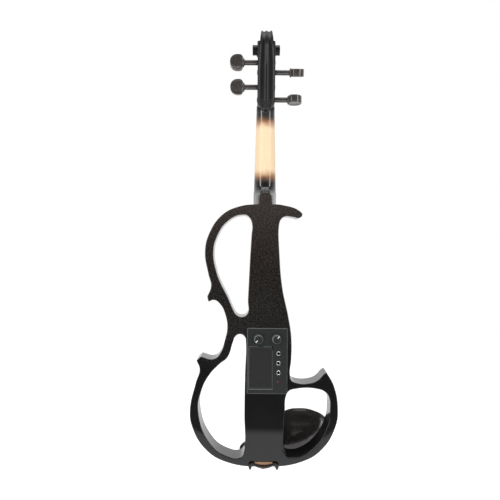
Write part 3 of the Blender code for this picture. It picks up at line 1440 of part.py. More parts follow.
def battery_clip():
    """The snap connector over the two studs."""
    top = battery_middle()
    low = top + Vector((-CLIP_WIDTH / 2, -CLIP_DEPTH / 2, GAP))
    high = top + Vector((CLIP_WIDTH / 2, CLIP_DEPTH / 2, CLIP_HEIGHT))
    made = place("battery_clip", box_mesh("battery_clip", low, high), LEAD_BLACK)
    for side in (-1, 1):
        centre = top + Vector((side * STUD_SPACING / 2, 0, 0))
        radius = STUD_DIAMETER / 2 + GAP
        hole = rod_mesh(f"clip_hole_{side}", radius, -0.002, STUD_HEIGHT + GAP, centre, (0, 0, 1), 12)
        cut(made, place(hole.name, hole))
    return made


def battery_lead():
    """From the connector, out of the tray through its notch and down to the board."""
    start = battery_middle() + Vector((0.0050, 0, CLIP_HEIGHT + GAP))
    notch = lead_notch_centre()
    board = BOARD_LEVEL + BOARD_THICKNESS + GAP
    side = Vector((0.0030, 0, 0))
    landing = Vector((notch.x + 0.0060, board, notch.z - 0.0012))
    up = Vector((0, 0.0010, 0))
    through = [notch - side, notch, notch + side - Vector((0, 0, 0.0002))]
    route = [start] + bent([start + Vector((0, 0, 0.0010)), *through, landing + up], 4) + [landing]
    mesh = swept_mesh("battery_lead", route, [LEAD / 2] * len(route))
    return place("battery_lead", mesh, LEAD_BLACK)


def circuit_board():
    """An L-shaped board: a strip behind the knobs and one behind the sockets."""
    inset_by = CAVITY_LEDGE + BOARD_ROOM
    left, right = PANEL_LEFT + inset_by, PANEL_RIGHT - inset_by
    low, high = PANEL_LOW + inset_by, PANEL_HIGH - inset_by
    step_x = DOOR_MIDDLE + TRAY_HALF + TRAY_WALL + BOARD_ROOM
    step_z = TRAY_HIGH + TRAY_WALL + BOARD_ROOM
    outline = [(left, high), (left, step_z), (step_x, step_z), (step_x, low), (right, low), (right, high)]
    corners = [(x, z, "corner") for x, z in outline]
    mesh = slab_mesh("circuit_board", [corners], BOARD_LEVEL, BOARD_LEVEL + BOARD_THICKNESS)
    return place("circuit_board", mesh, BOARD_GREEN)


def knob(name):
    """A low round knob with a raised pointer, bored for its shaft."""
    x, z = knob_place(name)
    turn = KNOB_PLACES[name][1]
    radius = KNOB_DIAMETER / 2
    base = -PANEL_PROUD - GAP
    bore = KNOB_SHAFT / 2 + GAP
    top = base - KNOB_HEIGHT
    profile = [
        (bore, base),
        (radius, base),
        (radius, top + 0.0012),
        (radius - 0.0010, top),
        (0, top),
        (0, top + KNOB_ROOF),
        (bore, top + KNOB_ROOF),
        (bore, base),
    ]
    mesh = turned_mesh(name + "_knob", profile, (0, 0, 0), (0, 1, 0), 24)
    made = place(mesh.name, mesh, BLACK_PLASTIC, (x, 0, z))
    pointer = box_mesh(
        "pointer_" + name,
        (POINTER_START, top - POINTER_PROUD, -POINTER_WIDTH / 2),
        (radius - POINTER_MARGIN, top + 0.0006, POINTER_WIDTH / 2),
    )
    pointer.transform(Matrix.Rotation(-math.radians(turn), 4, "Y"))
    join(made, place(pointer.name, pointer, None, (x, 0, z)))
    return made


def knob_shaft(name):
    x, z = knob_place(name)
    low = -PANEL_PROUD - GAP - KNOB_HEIGHT + KNOB_ROOF + GAP
    mesh = rod_mesh(name + "_shaft", KNOB_SHAFT / 2, low, PANEL_SEAT + SHAFT_TAIL, (0, 0, 0), (0, 1, 0), 14)
    return place(mesh.name, mesh, STEEL, (x, 0, z))


def potentiometer(name):
    x, z = knob_place(name)
    radius = POTENTIOMETER / 2
    low, high = PANEL_SEAT + SHAFT_TAIL + GAP, BOARD_LEVEL - GAP
    profile = [(0, low), (radius - 0.0006, low), (radius, low + 0.0006), (radius, high), (0, high)]
    mesh = turned_mesh(name + "_potentiometer", profile, (x, 0, z), (0, 1, 0), 18)
    return place(mesh.name, mesh, STEEL)


def socket(name):
    """A small round socket: case on the board, barrel through the panel."""
    z = PANEL_HIGH - SOCKET_FALLS[name]
    wide, tall = SOCKET_CASE_WIDTH / 2, SOCKET_CASE_HEIGHT / 2
    case = box_mesh(
        name + "_socket",
        (SOCKET_X - wide, PANEL_SEAT + GAP, z - tall),
        (SOCKET_X + wide, BOARD_LEVEL - GAP, z + tall),
    )
    made = place(case.name, case, BLACK_PLASTIC)
    outside = -PANEL_PROUD - SOCKET_PROUD
    at = (SOCKET_X, 0, z)
    barrel = rod_mesh("barrel_" + name, SOCKET_BARREL / 2, outside, PANEL_SEAT + 0.001, at, (0, 1, 0))
    hole = rod_mesh("socket_bore_" + name, SOCKET_BORE / 2, -0.01, BOARD_LEVEL - 0.0010, at, (0, 1, 0), 14)
    join(made, place(barrel.name, barrel))
    cut(made, place(hole.name, hole))
    return made


def socket_ring(name):
    inner, outer = SOCKET_BARREL / 2 + GAP, SOCKET_RING / 2
    near, far = -PANEL_PROUD - GAP, -PANEL_PROUD - SOCKET_PROUD
    profile = [(inner, near), (outer, near), (outer, far + 0.0003), (outer - 0.0003, far), (inner, far)]
    profile.append(profile[0])
    at = (SOCKET_X, 0, PANEL_HIGH - SOCKET_FALLS[name])
    mesh = turned_mesh(name + "_ring", profile, at, (0, 1, 0), 18)
    return place(mesh.name, mesh, STEEL)


def power_lamp():
    """A domed lens with a collar behind the panel and its legs on the board."""
    x, z = lamp_place()
    radius = LAMP_DIAMETER / 2
    top, base, collar = -PANEL_PROUD - 0.0010, PANEL_SEAT + GAP, 0.0005
    profile = [(0, top), (radius * 0.7, top + 0.0004), (radius, top + 0.0012), (radius, base)]
    profile += [(radius + collar, base), (radius + collar, base + 0.001), (radius * 0.5, base + 0.001)]
    profile += [(radius * 0.5, BOARD_LEVEL - GAP), (0, BOARD_LEVEL - GAP)]
    mesh = turned_mesh("power_lamp", profile, (x, 0, z), (0, 1, 0), 14)
    return place(mesh.name, mesh, LAMP_RED)


body()
neck()
fingerboard()
string_notches = string_cutters()
nut(string_notches)
bridge(string_notches)
bridge_pickup()
pickup_lead()
tailpiece()
tail_gut()
saddle()
end_button()
for string_name in STRING_DIAMETERS:
    peg(string_name)
    winding(string_name)
    string(string_name)
    tuner_screw(string_name)
    tuner_lever(string_name)
chinrest()
clamp_foot()
foot_cork()
for hand, hand_sign in (("right", 1), ("left", -1)):
    rest_cork("rest_cork_" + hand, hand_sign)
    clamp_bracket("clamp_bracket_" + hand, hand_sign)
    clamp_barrel("clamp_barrel_" + hand, hand_sign)
control_panel()
battery_door()
battery()
battery_clip()
battery_lead()
circuit_board()
for knob_name in KNOB_PLACES:
    knob(knob_name)
    knob_shaft(knob_name)
    potentiometer(knob_name)
for socket_name in SOCKET_FALLS:
    socket(socket_name)
    socket_ring(socket_name)
power_lamp()
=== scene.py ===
import json
import math

import bmesh
import bpy
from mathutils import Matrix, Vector

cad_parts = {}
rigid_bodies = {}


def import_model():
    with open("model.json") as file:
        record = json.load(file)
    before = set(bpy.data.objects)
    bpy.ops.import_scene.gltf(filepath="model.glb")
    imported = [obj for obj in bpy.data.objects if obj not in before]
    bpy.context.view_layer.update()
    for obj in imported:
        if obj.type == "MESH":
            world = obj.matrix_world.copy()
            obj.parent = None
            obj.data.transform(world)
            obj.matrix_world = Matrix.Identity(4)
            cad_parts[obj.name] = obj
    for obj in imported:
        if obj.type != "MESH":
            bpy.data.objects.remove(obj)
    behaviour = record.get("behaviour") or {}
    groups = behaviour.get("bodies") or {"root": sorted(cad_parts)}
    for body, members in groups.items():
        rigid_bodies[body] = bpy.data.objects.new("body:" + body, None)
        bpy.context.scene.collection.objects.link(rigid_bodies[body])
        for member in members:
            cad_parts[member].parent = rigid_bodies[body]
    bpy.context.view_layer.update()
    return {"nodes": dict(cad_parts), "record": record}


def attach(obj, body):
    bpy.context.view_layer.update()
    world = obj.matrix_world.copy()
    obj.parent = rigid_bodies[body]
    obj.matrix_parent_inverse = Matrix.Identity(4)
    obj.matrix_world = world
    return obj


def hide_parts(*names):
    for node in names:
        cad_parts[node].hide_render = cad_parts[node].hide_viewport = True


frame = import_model()
nodes = frame["nodes"]
slotOf = {part["node"]: part["material_slot"] for part in frame["record"]["subparts"]}
bodyOf = {node: body for body, held in frame["record"]["behaviour"]["bodies"].items() for node in held}
for thing in bpy.data.objects:
    thing.select_set(False)

# the hanger seat is the origin: the shoulder and the back's plane lie here
shoulder = -0.2365
backPlane = -0.0085
scene = bpy.context.scene
scene.view_settings.view_transform = "Standard"


# words for building shaders
class Wire:
    def __init__(self, finish, socket):
        self.finish = finish
        self.socket = socket

    def maths(self, operation, first, second):
        made = self.finish.node("ShaderNodeMath", {"operation": operation}, {0: first, 1: second})
        return made.out()

    def __add__(self, other):
        return self.maths("ADD", self, other)

    def __radd__(self, other):
        return self.maths("ADD", other, self)

    def __sub__(self, other):
        return self.maths("SUBTRACT", self, other)

    def __rsub__(self, other):
        return self.maths("SUBTRACT", other, self)

    def __mul__(self, other):
        return self.maths("MULTIPLY", self, other)

    def __rmul__(self, other):
        return self.maths("MULTIPLY", other, self)

    def __truediv__(self, other):
        return self.maths("DIVIDE", self, other)

    def __rtruediv__(self, other):
        return self.maths("DIVIDE", other, self)

    def __pow__(self, other):
        return self.maths("POWER", self, other)


class Placed:
    def __init__(self, finish, node):
        self.finish = finish
        self.node = node

    def out(self, name=0):
        return Wire(self.finish, self.node.outputs[name])


class Finish:
    def __init__(self, name, tree=None):
        self.material = None
        if tree is None:
            self.material = bpy.data.materials.new(name)
            self.material.use_nodes = True
            tree = self.material.node_tree
        self.tree = tree
        tree.nodes.clear()

    def node(self, kind, settings=None, values=None):
        made = self.tree.nodes.new(kind)
        for name, value in (settings or {}).items():
            if name == "stops":
                ramp = made.color_ramp
                while len(ramp.elements) > 1:
                    ramp.elements.remove(ramp.elements[-1])
                for number, (place, colour) in enumerate(value):
                    element = ramp.elements[0] if number == 0 else ramp.elements.new(place)
                    element.position = place
                    element.color = (*colour, 1)
            else:
                setattr(made, name, value)
        for name, value in (values or {}).items():
            if isinstance(value, Wire):
                self.tree.links.new(value.socket, made.inputs[name])
            elif isinstance(value, tuple) and len(value) == 3 and made.inputs[name].type == "RGBA":
                made.inputs[name].default_value = (*value, 1)
            else:
                made.inputs[name].default_value = value
        return Placed(self, made)

    def place(self):
        return self.node("ShaderNodeTexCoord").out("Object")

    def axes(self, place):
        split = self.node("ShaderNodeSeparateXYZ", None, {0: place})
        return split.out("X"), split.out("Y"), split.out("Z")

    def noise(self, place, scale, detail=3, roughness=0.5):
        values = {"Vector": place, "Scale": scale, "Detail": detail, "Roughness": roughness}
        return self.node("ShaderNodeTexNoise", None, values).out("Fac")

    def stretched(self, place, scale):
        return self.node("ShaderNodeMapping", None, {"Vector": place, "Scale": scale}).out()

    def between(self, value, low, high, start=0.0, end=1.0):
        values = {"Value": value, "From Min": low, "From Max": high, "To Min": start, "To Max": end}
        return self.node("ShaderNodeMapRange", {"interpolation_type": "SMOOTHSTEP"}, values).out()

    def mix(self, share, one, two):
        made = self.node("ShaderNodeMix", {"data_type": "RGBA"}, {"Factor": share})
        for socket, value in ((made.node.inputs[6], one), (made.node.inputs[7], two)):
            if isinstance(value, Wire):
                self.tree.links.new(value.socket, socket)
            else:
                socket.default_value = (*value, 1)
        return Wire(self, made.node.outputs[2])

    def bump(self, height, strength, distance):
        values = {"Height": height, "Strength": strength, "Distance": distance}
        return self.node("ShaderNodeBump", None, values).out()

    def surface(self, values):
        shader = self.node("ShaderNodeBsdfPrincipled", None, values)
        self.node("ShaderNodeOutputMaterial", None, {"Surface": shader.out()})
        return self.material


# camera, light and floor
cameraSettings = {
    "distance": 0.780,
    "sideways": -0.0234,
    "height": shoulder - 0.0714,
    "angle": 2 * math.atan(0.38625 / 0.780),
    "roll": -0.0076,
}


def makeCamera():
    data = bpy.data.cameras.new("camera")
    data.sensor_fit = "HORIZONTAL"
    data.angle = cameraSettings["angle"]
    data.clip_start = 0.01
    camera = bpy.data.objects.new("camera", data)
    scene.collection.objects.link(camera)
    camera.location = (
        cameraSettings["sideways"],
        backPlane - cameraSettings["distance"],
        cameraSettings["height"],
    )
    camera.rotation_euler = (math.radians(90), cameraSettings["roll"], 0)
    scene.camera = camera


lampSettings = {
    # name: (place, aim, width, height, watts)
    "leftStrip": ((-1.05, -0.95, -0.10), (0, 0, -0.30), 0.35, 1.6, 11.0),
    "rightStrip": ((1.05, -0.90, -0.10), (0, 0, -0.30), 0.30, 1.6, 9.0),
    "top": ((0.0, -0.2, 1.10), (0, 0, -0.3), 1.2, 0.8, 9.0),
    "low": ((0.0, -0.55, -1.15), (0, 0, -0.60), 0.9, 0.25, 3.0),
}


def makeLamps():
    for name, (place, aim, width, height, watts) in lampSettings.items():
        data = bpy.data.lights.new(name, "AREA")
        data.shape = "RECTANGLE"
        data.size = width
        data.size_y = height
        data.energy = watts
        lamp = bpy.data.objects.new(name, data)
        scene.collection.objects.link(lamp)
        lamp.location = place
        lamp.rotation_euler = (Vector(aim) - Vector(place)).to_track_quat("-Z", "Y").to_euler()


worldSettings = {
    "seen": 1.0,
    "ambient": 0.62,
    "darkFront": 0.02,
    "glow": 0.45,
    "glowFrom": (-0.03, 0.12),
    "glowTo": (0.30, 0.16),
    "tableEdge": -0.338,
    "tableSoft": 0.007,
    "table": 1.0,
    "back": 0.82,
}


def makeWorld():
    world = bpy.data.worlds.new("studio")
    scene.world = world
    world.use_nodes = True
    air = Finish("studio", world.node_tree)
    path = air.node("ShaderNodeLightPath")
    direct = air.node("ShaderNodeTexCoord").out("Generated")
    x, y, z = air.axes(direct)
    edge, soft = worldSettings["tableEdge"], worldSettings["tableSoft"]
    glow = air.between(z, *worldSettings["glowFrom"]) * air.between(z, *worldSettings["glowTo"])
    table = air.between(z, edge + soft, edge - soft)
    dark = worldSettings["darkFront"] + glow * worldSettings["glow"]
    front = dark * (1 - table) + table * worldSettings["table"]
    behind = air.between(y, -0.30, 0.30)
    mirrored = front * (1 - behind) + behind * worldSettings["back"]
    seen = path.out("Is Camera Ray")
    glossy = path.out("Is Glossy Ray")
    clear = path.out("Is Transmission Ray")
    plain = 1 - seen - glossy - clear
    level = seen * worldSettings["seen"] + clear * 1.0 + glossy * mirrored + plain * worldSettings["ambient"]
    lit = air.node("ShaderNodeBackground", None, {"Color": (1, 1, 1), "Strength": level})
    air.node("ShaderNodeOutputWorld", None, {"Surface": lit.out()})


floorSettings = {"level": -1.05, "size": 7.0, "glow": 0.62}


def makeFloor():
    bpy.ops.mesh.primitive_plane_add(size=floorSettings["size"], location=(0, 0, floorSettings["level"]))
    floor = bpy.context.object
    floor.name = "floor"
    paper = Finish("floorPaper")
    seen = paper.node("ShaderNodeLightPath").out("Is Camera Ray")
    shine = paper.node("ShaderNodeEmission", None, {"Color": (1, 1, 1), "Strength": seen * floorSettings["glow"]})
    matte = paper.node("ShaderNodeBsdfDiffuse", None, {"Color": (0.86, 0.86, 0.86)})
    both = paper.node("ShaderNodeAddShader", None, {0: shine.out(), 1: matte.out()})
    paper.node("ShaderNodeOutputMaterial", None, {"Surface": both.out()})
    floor.data.materials.append(paper.material)
    floor.visible_glossy = False


# finishes
lacquerSettings = {
    "low": (-0.270, -0.190),
    "high": (-0.150, -0.010),
    "deep": ((0.0024, 0.0024, 0.0028), (0.0056, 0.0056, 0.0064)),
    "middle": ((0.0030, 0.0028, 0.0027), (0.0360, 0.0310, 0.0275)),
    "upper": ((0.0040, 0.0032, 0.0028), (0.0520, 0.0350, 0.0285)),
}


def lacquerFinish(name="bodyLacquer"):
    paint = Finish(name)
    place = paint.place()
    x, y, z = paint.axes(place)
    fine = paint.noise(place, 1700, 2, 0.6)
    patch = paint.noise(place, 460, 3, 0.6)
    cloud = paint.noise(place, 22, 3, 0.55)
    sparkle = paint.between(fine, 0.42, 0.70) * 0.35 + paint.between(patch, 0.44, 0.60) * 0.65
    low, high = lacquerSettings["low"], lacquerSettings["high"]
    drift = z - shoulder + (cloud - 0.5) * 0.05
    middle = paint.between(drift, *low)
    upper = paint.between(drift, *high)
    deep, mid, top = (lacquerSettings[word] for word in ("deep", "middle", "upper"))
    dark = paint.mix(upper, paint.mix(middle, deep[0], mid[0]), top[0])
    light = paint.mix(upper, paint.mix(middle, deep[1], mid[1]), top[1])
    values = {
        "Base Color": paint.mix(sparkle, dark, light),
        "Metallic": 0.15,
        "Roughness": paint.between(cloud, 0.3, 0.7, 0.30, 0.38),
        "Specular IOR Level": 0.25,
        "Coat Weight": 1.0,
        "Coat Roughness": 0.02,
        "Normal": paint.bump(fine, 0.05, 0.0003),
    }
    return paint.surface(values)


neckSettings = {"topStain": (0.116, 0.145), "lowStain": (0.033, 0.065), "head": (0.146, 0.154)}


def neckFinish():
    wood = Finish("neckMaple")
    place = wood.place()
    x, y, z = wood.axes(place)
    low, high = neckSettings["lowStain"], neckSettings["topStain"]
    grainPlace = wood.stretched(place, (1.0, 1.0, 0.06))
    grain = wood.noise(grainPlace, 420, 4, 0.6)
    flame = wood.noise(wood.stretched(place, (0.2, 0.2, 1.0)), 90, 2, 0.5)
    wobble = (wood.noise(place, 60, 2, 0.5) - 0.5) * 0.012
    height = z - shoulder + wobble
    lower = wood.between(height, low[0], low[1])
    upper = wood.between(height, high[1], high[0])
    bare = lower * upper
    cream = wood.mix(grain, (0.82, 0.60, 0.37), (0.91, 0.73, 0.51))
    cream = wood.mix(flame * 0.35, cream, (0.80, 0.58, 0.36))
    amber = wood.mix(wood.between(bare, 0.0, 0.45), (0.0065, 0.0060, 0.0060), (0.36, 0.17, 0.075))
    colour = wood.mix(wood.between(bare, 0.25, 0.95), amber, cream)
    head = wood.between(height, *neckSettings["head"])
    values = {
        "Base Color": colour,
        "Roughness": wood.between(grain, 0.2, 0.8, 0.34, 0.46),
        "Specular IOR Level": 0.3,
        "Coat Weight": (1 - bare * 0.85) * (1 - head * 0.92),
        "Coat Roughness": 0.035,
        "Normal": wood.bump(grain, 0.04, 0.0003),
    }
    return wood.surface(values)


ebonyTones = ((0.010, 0.009, 0.009), (0.026, 0.022, 0.020))


def ebonyFinish(name="ebony", roughness=0.24, light=1.0, coat=0.0):
    wood = Finish(name)
    place = wood.place()
    grain = wood.noise(wood.stretched(place, (1.0, 1.0, 0.12)), 700, 3, 0.6)
    values = {
        "Coat Weight": coat,
        "Coat Roughness": 0.12,
        "Base Color": wood.mix(grain, *(tuple(part * light for part in tone) for tone in ebonyTones)),
        "Roughness": wood.between(grain, 0.2, 0.8, roughness, roughness + 0.12),
        "Normal": wood.bump(grain, 0.08, 0.0002),
    }
    return wood.surface(values)


def bridgeFinish():
    wood = Finish("bridgeMaple")
    place = wood.place()
    fleck = wood.noise(wood.stretched(place, (3.0, 1.0, 0.4)), 500, 3, 0.6)
    values = {
        "Base Color": wood.mix(fleck, (0.62, 0.44, 0.26), (0.80, 0.62, 0.40)),
        "Roughness": 0.55,
        "Normal": wood.bump(fleck, 0.1, 0.0003),
    }
    return wood.surface(values)


def plasticFinish(name="blackPlastic", colour=(0.0175, 0.0190, 0.0190)):
    plastic = Finish(name)
    place = plastic.place()
    grain = plastic.noise(place, 2600, 2, 0.5)
    patch = plastic.noise(place, 30, 2, 0.5)
    deeper = tuple(part * 0.82 for part in colour)
    values = {
        "Base Color": plastic.mix(patch, deeper, colour),
        "Roughness": plastic.between(grain, 0.3, 0.7, 0.38, 0.48),
        "Normal": plastic.bump(grain, 0.12, 0.0001),
    }
    return plastic.surface(values)


panelShape = {
    "low": (-0.0269, -0.0012, -0.2934),
    "high": (0.0357, 0.0018, -0.1918),
    "corner": 0.0016,
    "edge": 0.0006,
    # width of the painted highlight along the panel's edges
    "rim": 0.0010,
    "tray": ((-0.0200, 0.0013, -0.2837), (0.0086, 0.0205, -0.2229), 0.0014),
    "knobHole": 0.0038,
    "socketHole": 0.0033,
    "lampHole": 0.0018,
}
knobPlaces = {"volume": (-0.0090, -0.2086, 226), "tone": (0.0188, -0.2086, 52)}
doorShape = {
    "low": (-0.0246, -0.0012, -0.2862),
    "high": (0.0132, 0.0006, -0.2199),
    "hinge": (-0.0057, -0.0001, -0.2866),
    "roll": 0.0011,
    "pin": 0.0005,
    "corner": 0.0011,
    "edge": 0.00035,
    # width of the painted highlight along the door's edges
    "rim": 0.0009,
    "recess": (0.0032, 0.0035, 0.0045, 0.00045),
    "ribs": (3, 0.0023, 0.0078, 0.0120),
    "latch": (0.0040, 0.0010),
}


def paintedRimHighlight(plastic, place, low, high, wide, gap=0.0):
    # the mask of a painted highlight along the edges: 1 along the rim of a rectangle across the back, 0 inside it
    x, y, z = plastic.axes(place)
    level = z - shoulder
    soft = wide * 0.25
    left = plastic.between(x, low[0] + wide + soft, low[0] + wide - soft)
    right = plastic.between(x, high[0] - wide * 0.6 - soft, high[0] - wide * 0.6 + soft)
    foot = plastic.between(level, low[1] + wide * 0.7 + soft, low[1] + wide * 0.7 - soft)
    head = plastic.between(level, high[1] - wide - soft, high[1] - wide + soft)
    if gap:
        middle = (low[0] + high[0]) / 2
        away = plastic.node("ShaderNodeMath", {"operation": "ABSOLUTE"}, {0: x - middle}).out()
        head = head * plastic.between(away, gap, gap + 0.0006)
    return 1 - (1 - left) * (1 - right) * (1 - foot) * (1 - head)


def panelFinish():
    plastic = Finish("panelPlastic")
    place = plastic.place()
    grain = plastic.noise(place, 2600, 2, 0.5)
    low, high = panelShape["low"], panelShape["high"]
    # the lighter grey rim is a painted highlight along the panel's edges
    rim = paintedRimHighlight(plastic, place, (low[0], low[2]), (high[0], high[2]), panelShape["rim"])
    values = {
        "Base Color": plastic.mix(rim, (0.0150, 0.0168, 0.0168), (0.0850, 0.0920, 0.0920)),
        "Roughness": plastic.between(grain, 0.3, 0.7, 0.32, 0.42),
        "Normal": plastic.bump(grain, 0.12, 0.0001),
    }
    return plastic.surface(values)


def knobFinish(name):
    # a dark stippled top inside a painted highlight: a lighter ring, brightest on its upper left
    plastic = Finish(name + "Plastic")
    place = plastic.place()
    x, y, z = plastic.axes(place)
    across, level, turn = knobPlaces[name]
    right, up = x - across, z - shoulder - level
    reach = (right * right + up * up) ** 0.5
    # painted highlight: the ring is lighter where the light falls, toward the upper left
    ring = plastic.between(reach, 0.0052, 0.0058)
    lit = plastic.between(up - right, -0.0050, 0.0060, 0.25, 1.0)
    stipple = plastic.noise(place, 1900, 1, 0.4)
    values = {
        "Base Color": plastic.mix(ring * lit, (0.0100, 0.0115, 0.0115), (0.1000, 0.1050, 0.1050)),
        "Roughness": plastic.between(stipple, 0.3, 0.7, 0.36, 0.50),
        "Normal": plastic.bump(stipple, 0.35, 0.0003),
    }
    return plastic.surface(values)


def doorFinish():
    # the panel's plastic, with painted shade inside the door's recess (a darker, slightly olive tone) and a painted
    # highlight along the door's rim
    plastic = Finish("doorPlastic")
    place = plastic.place()
    x, y, z = plastic.axes(place)
    grain = plastic.noise(place, 2600, 2, 0.5)
    low, high, (side, under, over, deep) = (doorShape[word] for word in ("low", "high", "recess"))
    across = plastic.between(x, low[0] + side - 0.0004, low[0] + side + 0.0004)
    across = across * plastic.between(x, high[0] - side + 0.0004, high[0] - side - 0.0004)
    level = z - shoulder
    upright = plastic.between(level, low[2] + over - 0.0004, low[2] + over + 0.0004)
    upright = upright * plastic.between(level, high[2] - under + 0.0004, high[2] - under - 0.0004)
    # painted shade: inside the recess the plastic is painted darker
    tone = plastic.mix(across * upright, (0.0160, 0.0172, 0.0172), (0.0106, 0.0112, 0.0102))
    # painted highlight along the door's edges, broken at the latch
    rim = paintedRimHighlight(plastic, place, (low[0], low[2]), (high[0], high[2]), doorShape["rim"], doorShape["latch"][0])
    values = {
        "Base Color": plastic.mix(rim, tone, (0.0780, 0.0850, 0.0850)),
        "Roughness": plastic.between(grain, 0.3, 0.7, 0.38, 0.48),
        "Normal": plastic.bump(grain, 0.12, 0.0001),
    }
    return plastic.surface(values)


def metalFinish(name, colour, roughness, metallic=1.0):
    metal = Finish(name)
    place = metal.place()
    wear = metal.noise(place, 400, 3, 0.6)
    darker = tuple(part * 0.72 for part in colour)
    values = {
        "Base Color": metal.mix(wear, darker, colour),
        "Metallic": metallic,
        "Roughness": metal.between(wear, 0.3, 0.7, roughness, roughness + 0.12),
    }
    return metal.surface(values)


def woundFinish():
    metal = Finish("woundString")
    place = metal.place()
    x, y, z = metal.axes(place)
    ribs = metal.node("ShaderNodeMath", {"operation": "SINE"}, {0: z * 22000}).out()
    values = {
        "Base Color": metal.mix(ribs * 0.5 + 0.5, (0.30, 0.30, 0.31), (0.62, 0.62, 0.63)),
        "Metallic": 1.0,
        "Roughness": 0.3,
        "Normal": metal.bump(ribs, 0.3, 0.0001),
    }
    return metal.surface(values)


def corkFinish():
    bark = Finish("cork")
    place = bark.place()
    crumb = bark.noise(place, 900, 4, 0.65)
    pores = bark.between(bark.noise(place, 1500, 2, 0.5), 0.62, 0.70)
    base = bark.mix(crumb, (0.16, 0.075, 0.038), (0.44, 0.27, 0.165))
    values = {
        "Base Color": bark.mix(pores * 0.7, base, (0.08, 0.035, 0.015)),
        "Roughness": 0.85,
        "Normal": bark.bump(crumb, 0.4, 0.0004),
    }
    return bark.surface(values)


def boardFinish():
    board = Finish("circuitBoard")
    place = board.place()
    values = {"Vector": place, "Scale": 260.0}
    cells = board.node("ShaderNodeTexVoronoi", {"distance": "CHEBYCHEV"}, values).out("Distance")
    tracks = board.between(cells, 0.30, 0.34)
    values = {
        "Base Color": board.mix(tracks, (0.012, 0.085, 0.035), (0.03, 0.20, 0.08)),
        "Roughness": 0.4,
    }
    return board.surface(values)


def lampFinish():
    glass = Finish("lampRed")
    place = glass.place()
    haze = glass.noise(place, 500, 2, 0.5)
    values = {
        "Base Color": glass.mix(haze, (0.10, 0.006, 0.006), (0.24, 0.014, 0.012)),
        "Roughness": 0.15,
        "Coat Weight": 0.8,
    }
    return glass.surface(values)


def pointerFinish():
    paint = Finish("pointerWhite")
    place = paint.place()
    wear = paint.noise(place, 900, 3, 0.6)
    values = {"Base Color": paint.mix(wear, (0.70, 0.70, 0.68), (0.86, 0.86, 0.84)), "Roughness": 0.4}
    return paint.surface(values)


finishes = {
    "body_lacquer": lacquerFinish(),
    "neck_maple": neckFinish(),
    "bridge_maple": bridgeFinish(),
    "ebony": ebonyFinish(),
    "black_plastic": plasticFinish(),
    "gut_plastic": plasticFinish("gutPlastic", (0.02, 0.02, 0.02)),
    "fitting_steel": metalFinish("fittingSteel", (0.62, 0.62, 0.63), 0.22),
    "clamp_steel": metalFinish("clampSteel", (0.030, 0.024, 0.021), 0.22, 0.5),
    "string_steel": woundFinish(),
    "cork": corkFinish(),
    "lead_rubber": plasticFinish("leadRubber", (0.016, 0.016, 0.016)),
    "board_green": boardFinish(),
    "battery_case": metalFinish("batteryCase", (0.22, 0.22, 0.24), 0.35, 0.7),
    "pickup_brass": metalFinish("pickupBrass", (0.62, 0.42, 0.18), 0.3),
    "ring_chrome": metalFinish("ringChrome", (0.75, 0.75, 0.75), 0.12),
    "lamp_red": lampFinish(),
    "pointer_white": pointerFinish(),
    "peg_ebony": ebonyFinish("pegEbony", 0.20, 2.3, 0.5),
    "rest_ebony": ebonyFinish("restEbony", 0.24, 1.6, 0.3),
    "door_plastic": doorFinish(),
    "panel_plastic": panelFinish(),
    "volume_plastic": knobFinish("volume"),
    "tone_plastic": knobFinish("tone"),
}


def paintNodes():
    for node, slotName in slotOf.items():
        nodes[node].data.materials.clear()
        nodes[node].data.materials.append(finishes[slotName])
    print("painted", len(slotOf), "nodes")


# working by hand: choosing, shaping and finishing a piece
def choose(pieces):
    for thing in bpy.context.selected_objects:
        thing.select_set(False)
    for piece in pieces:
        piece.select_set(True)
    bpy.context.view_layer.objects.active = pieces[0]


def shape(piece):
    choose([piece])
    bpy.ops.object.mode_set(mode="EDIT")
    bpy.ops.mesh.select_all(action="SELECT")


def leave():
    bpy.ops.object.mode_set(mode="OBJECT")


def pickFaces(piece, wanted):
    # the faces that a test wants are selected, in edit mode
    shape(piece)
    bpy.ops.mesh.select_mode(type="FACE")
    bpy.ops.mesh.select_all(action="DESELECT")
    leave()
    for face in piece.data.polygons:
        face.select = wanted(face)
    bpy.ops.object.mode_set(mode="EDIT")


def pickEdges(piece, wanted):
    # the edges whose two ends a test wants are selected, in edit mode
    shape(piece)
    bpy.ops.mesh.select_mode(type="EDGE")
    bpy.ops.mesh.select_all(action="DESELECT")
    leave()
    points = piece.data.vertices
    for edge in piece.data.edges:
        edge.select = wanted(*(points[end].co for end in edge.vertices))
    bpy.ops.object.mode_set(mode="EDIT")


def alongDepth(one, two):
    return abs(one.y - two.y) > 0.9 * (one - two).length


def keepPlace(piece):
    choose([piece])
    bpy.ops.object.transform_apply(location=True, rotation=True, scale=True)


def modify(piece, kind, settings):
    choose([piece])
    bpy.ops.object.modifier_add(type=kind)
    made = piece.modifiers[-1]
    for name, value in settings.items():
        setattr(made, name, value)
    bpy.ops.object.modifier_apply(modifier=made.name)


def roundOff(piece, width, segments=2, angle=30, clamp=False):
    settings = {"width": width, "segments": segments, "limit_method": "ANGLE", "use_clamp_overlap": clamp}
    modify(piece, "BEVEL", {**settings, "angle_limit": math.radians(angle)})


def carve(piece, cutter, operation="DIFFERENCE"):
    # both are cut in triangles first, which keeps the boolean sound, and a sliver that it loses is filled
    for solid in (piece, cutter):
        modify(solid, "TRIANGULATE", {})
    modify(piece, "BOOLEAN", {"operation": operation, "solver": "EXACT", "object": cutter})
    bpy.data.objects.remove(cutter)
    shape(piece)
    bpy.ops.mesh.select_mode(type="EDGE")
    bpy.ops.mesh.select_all(action="DESELECT")
    bpy.ops.mesh.select_non_manifold(use_multi_face=False, use_non_contiguous=False, use_verts=False)
    bpy.ops.mesh.fill_holes(sides=0)
    leave()


def joined(pieces):
    choose(pieces)
    bpy.ops.object.join()
    return pieces[0]


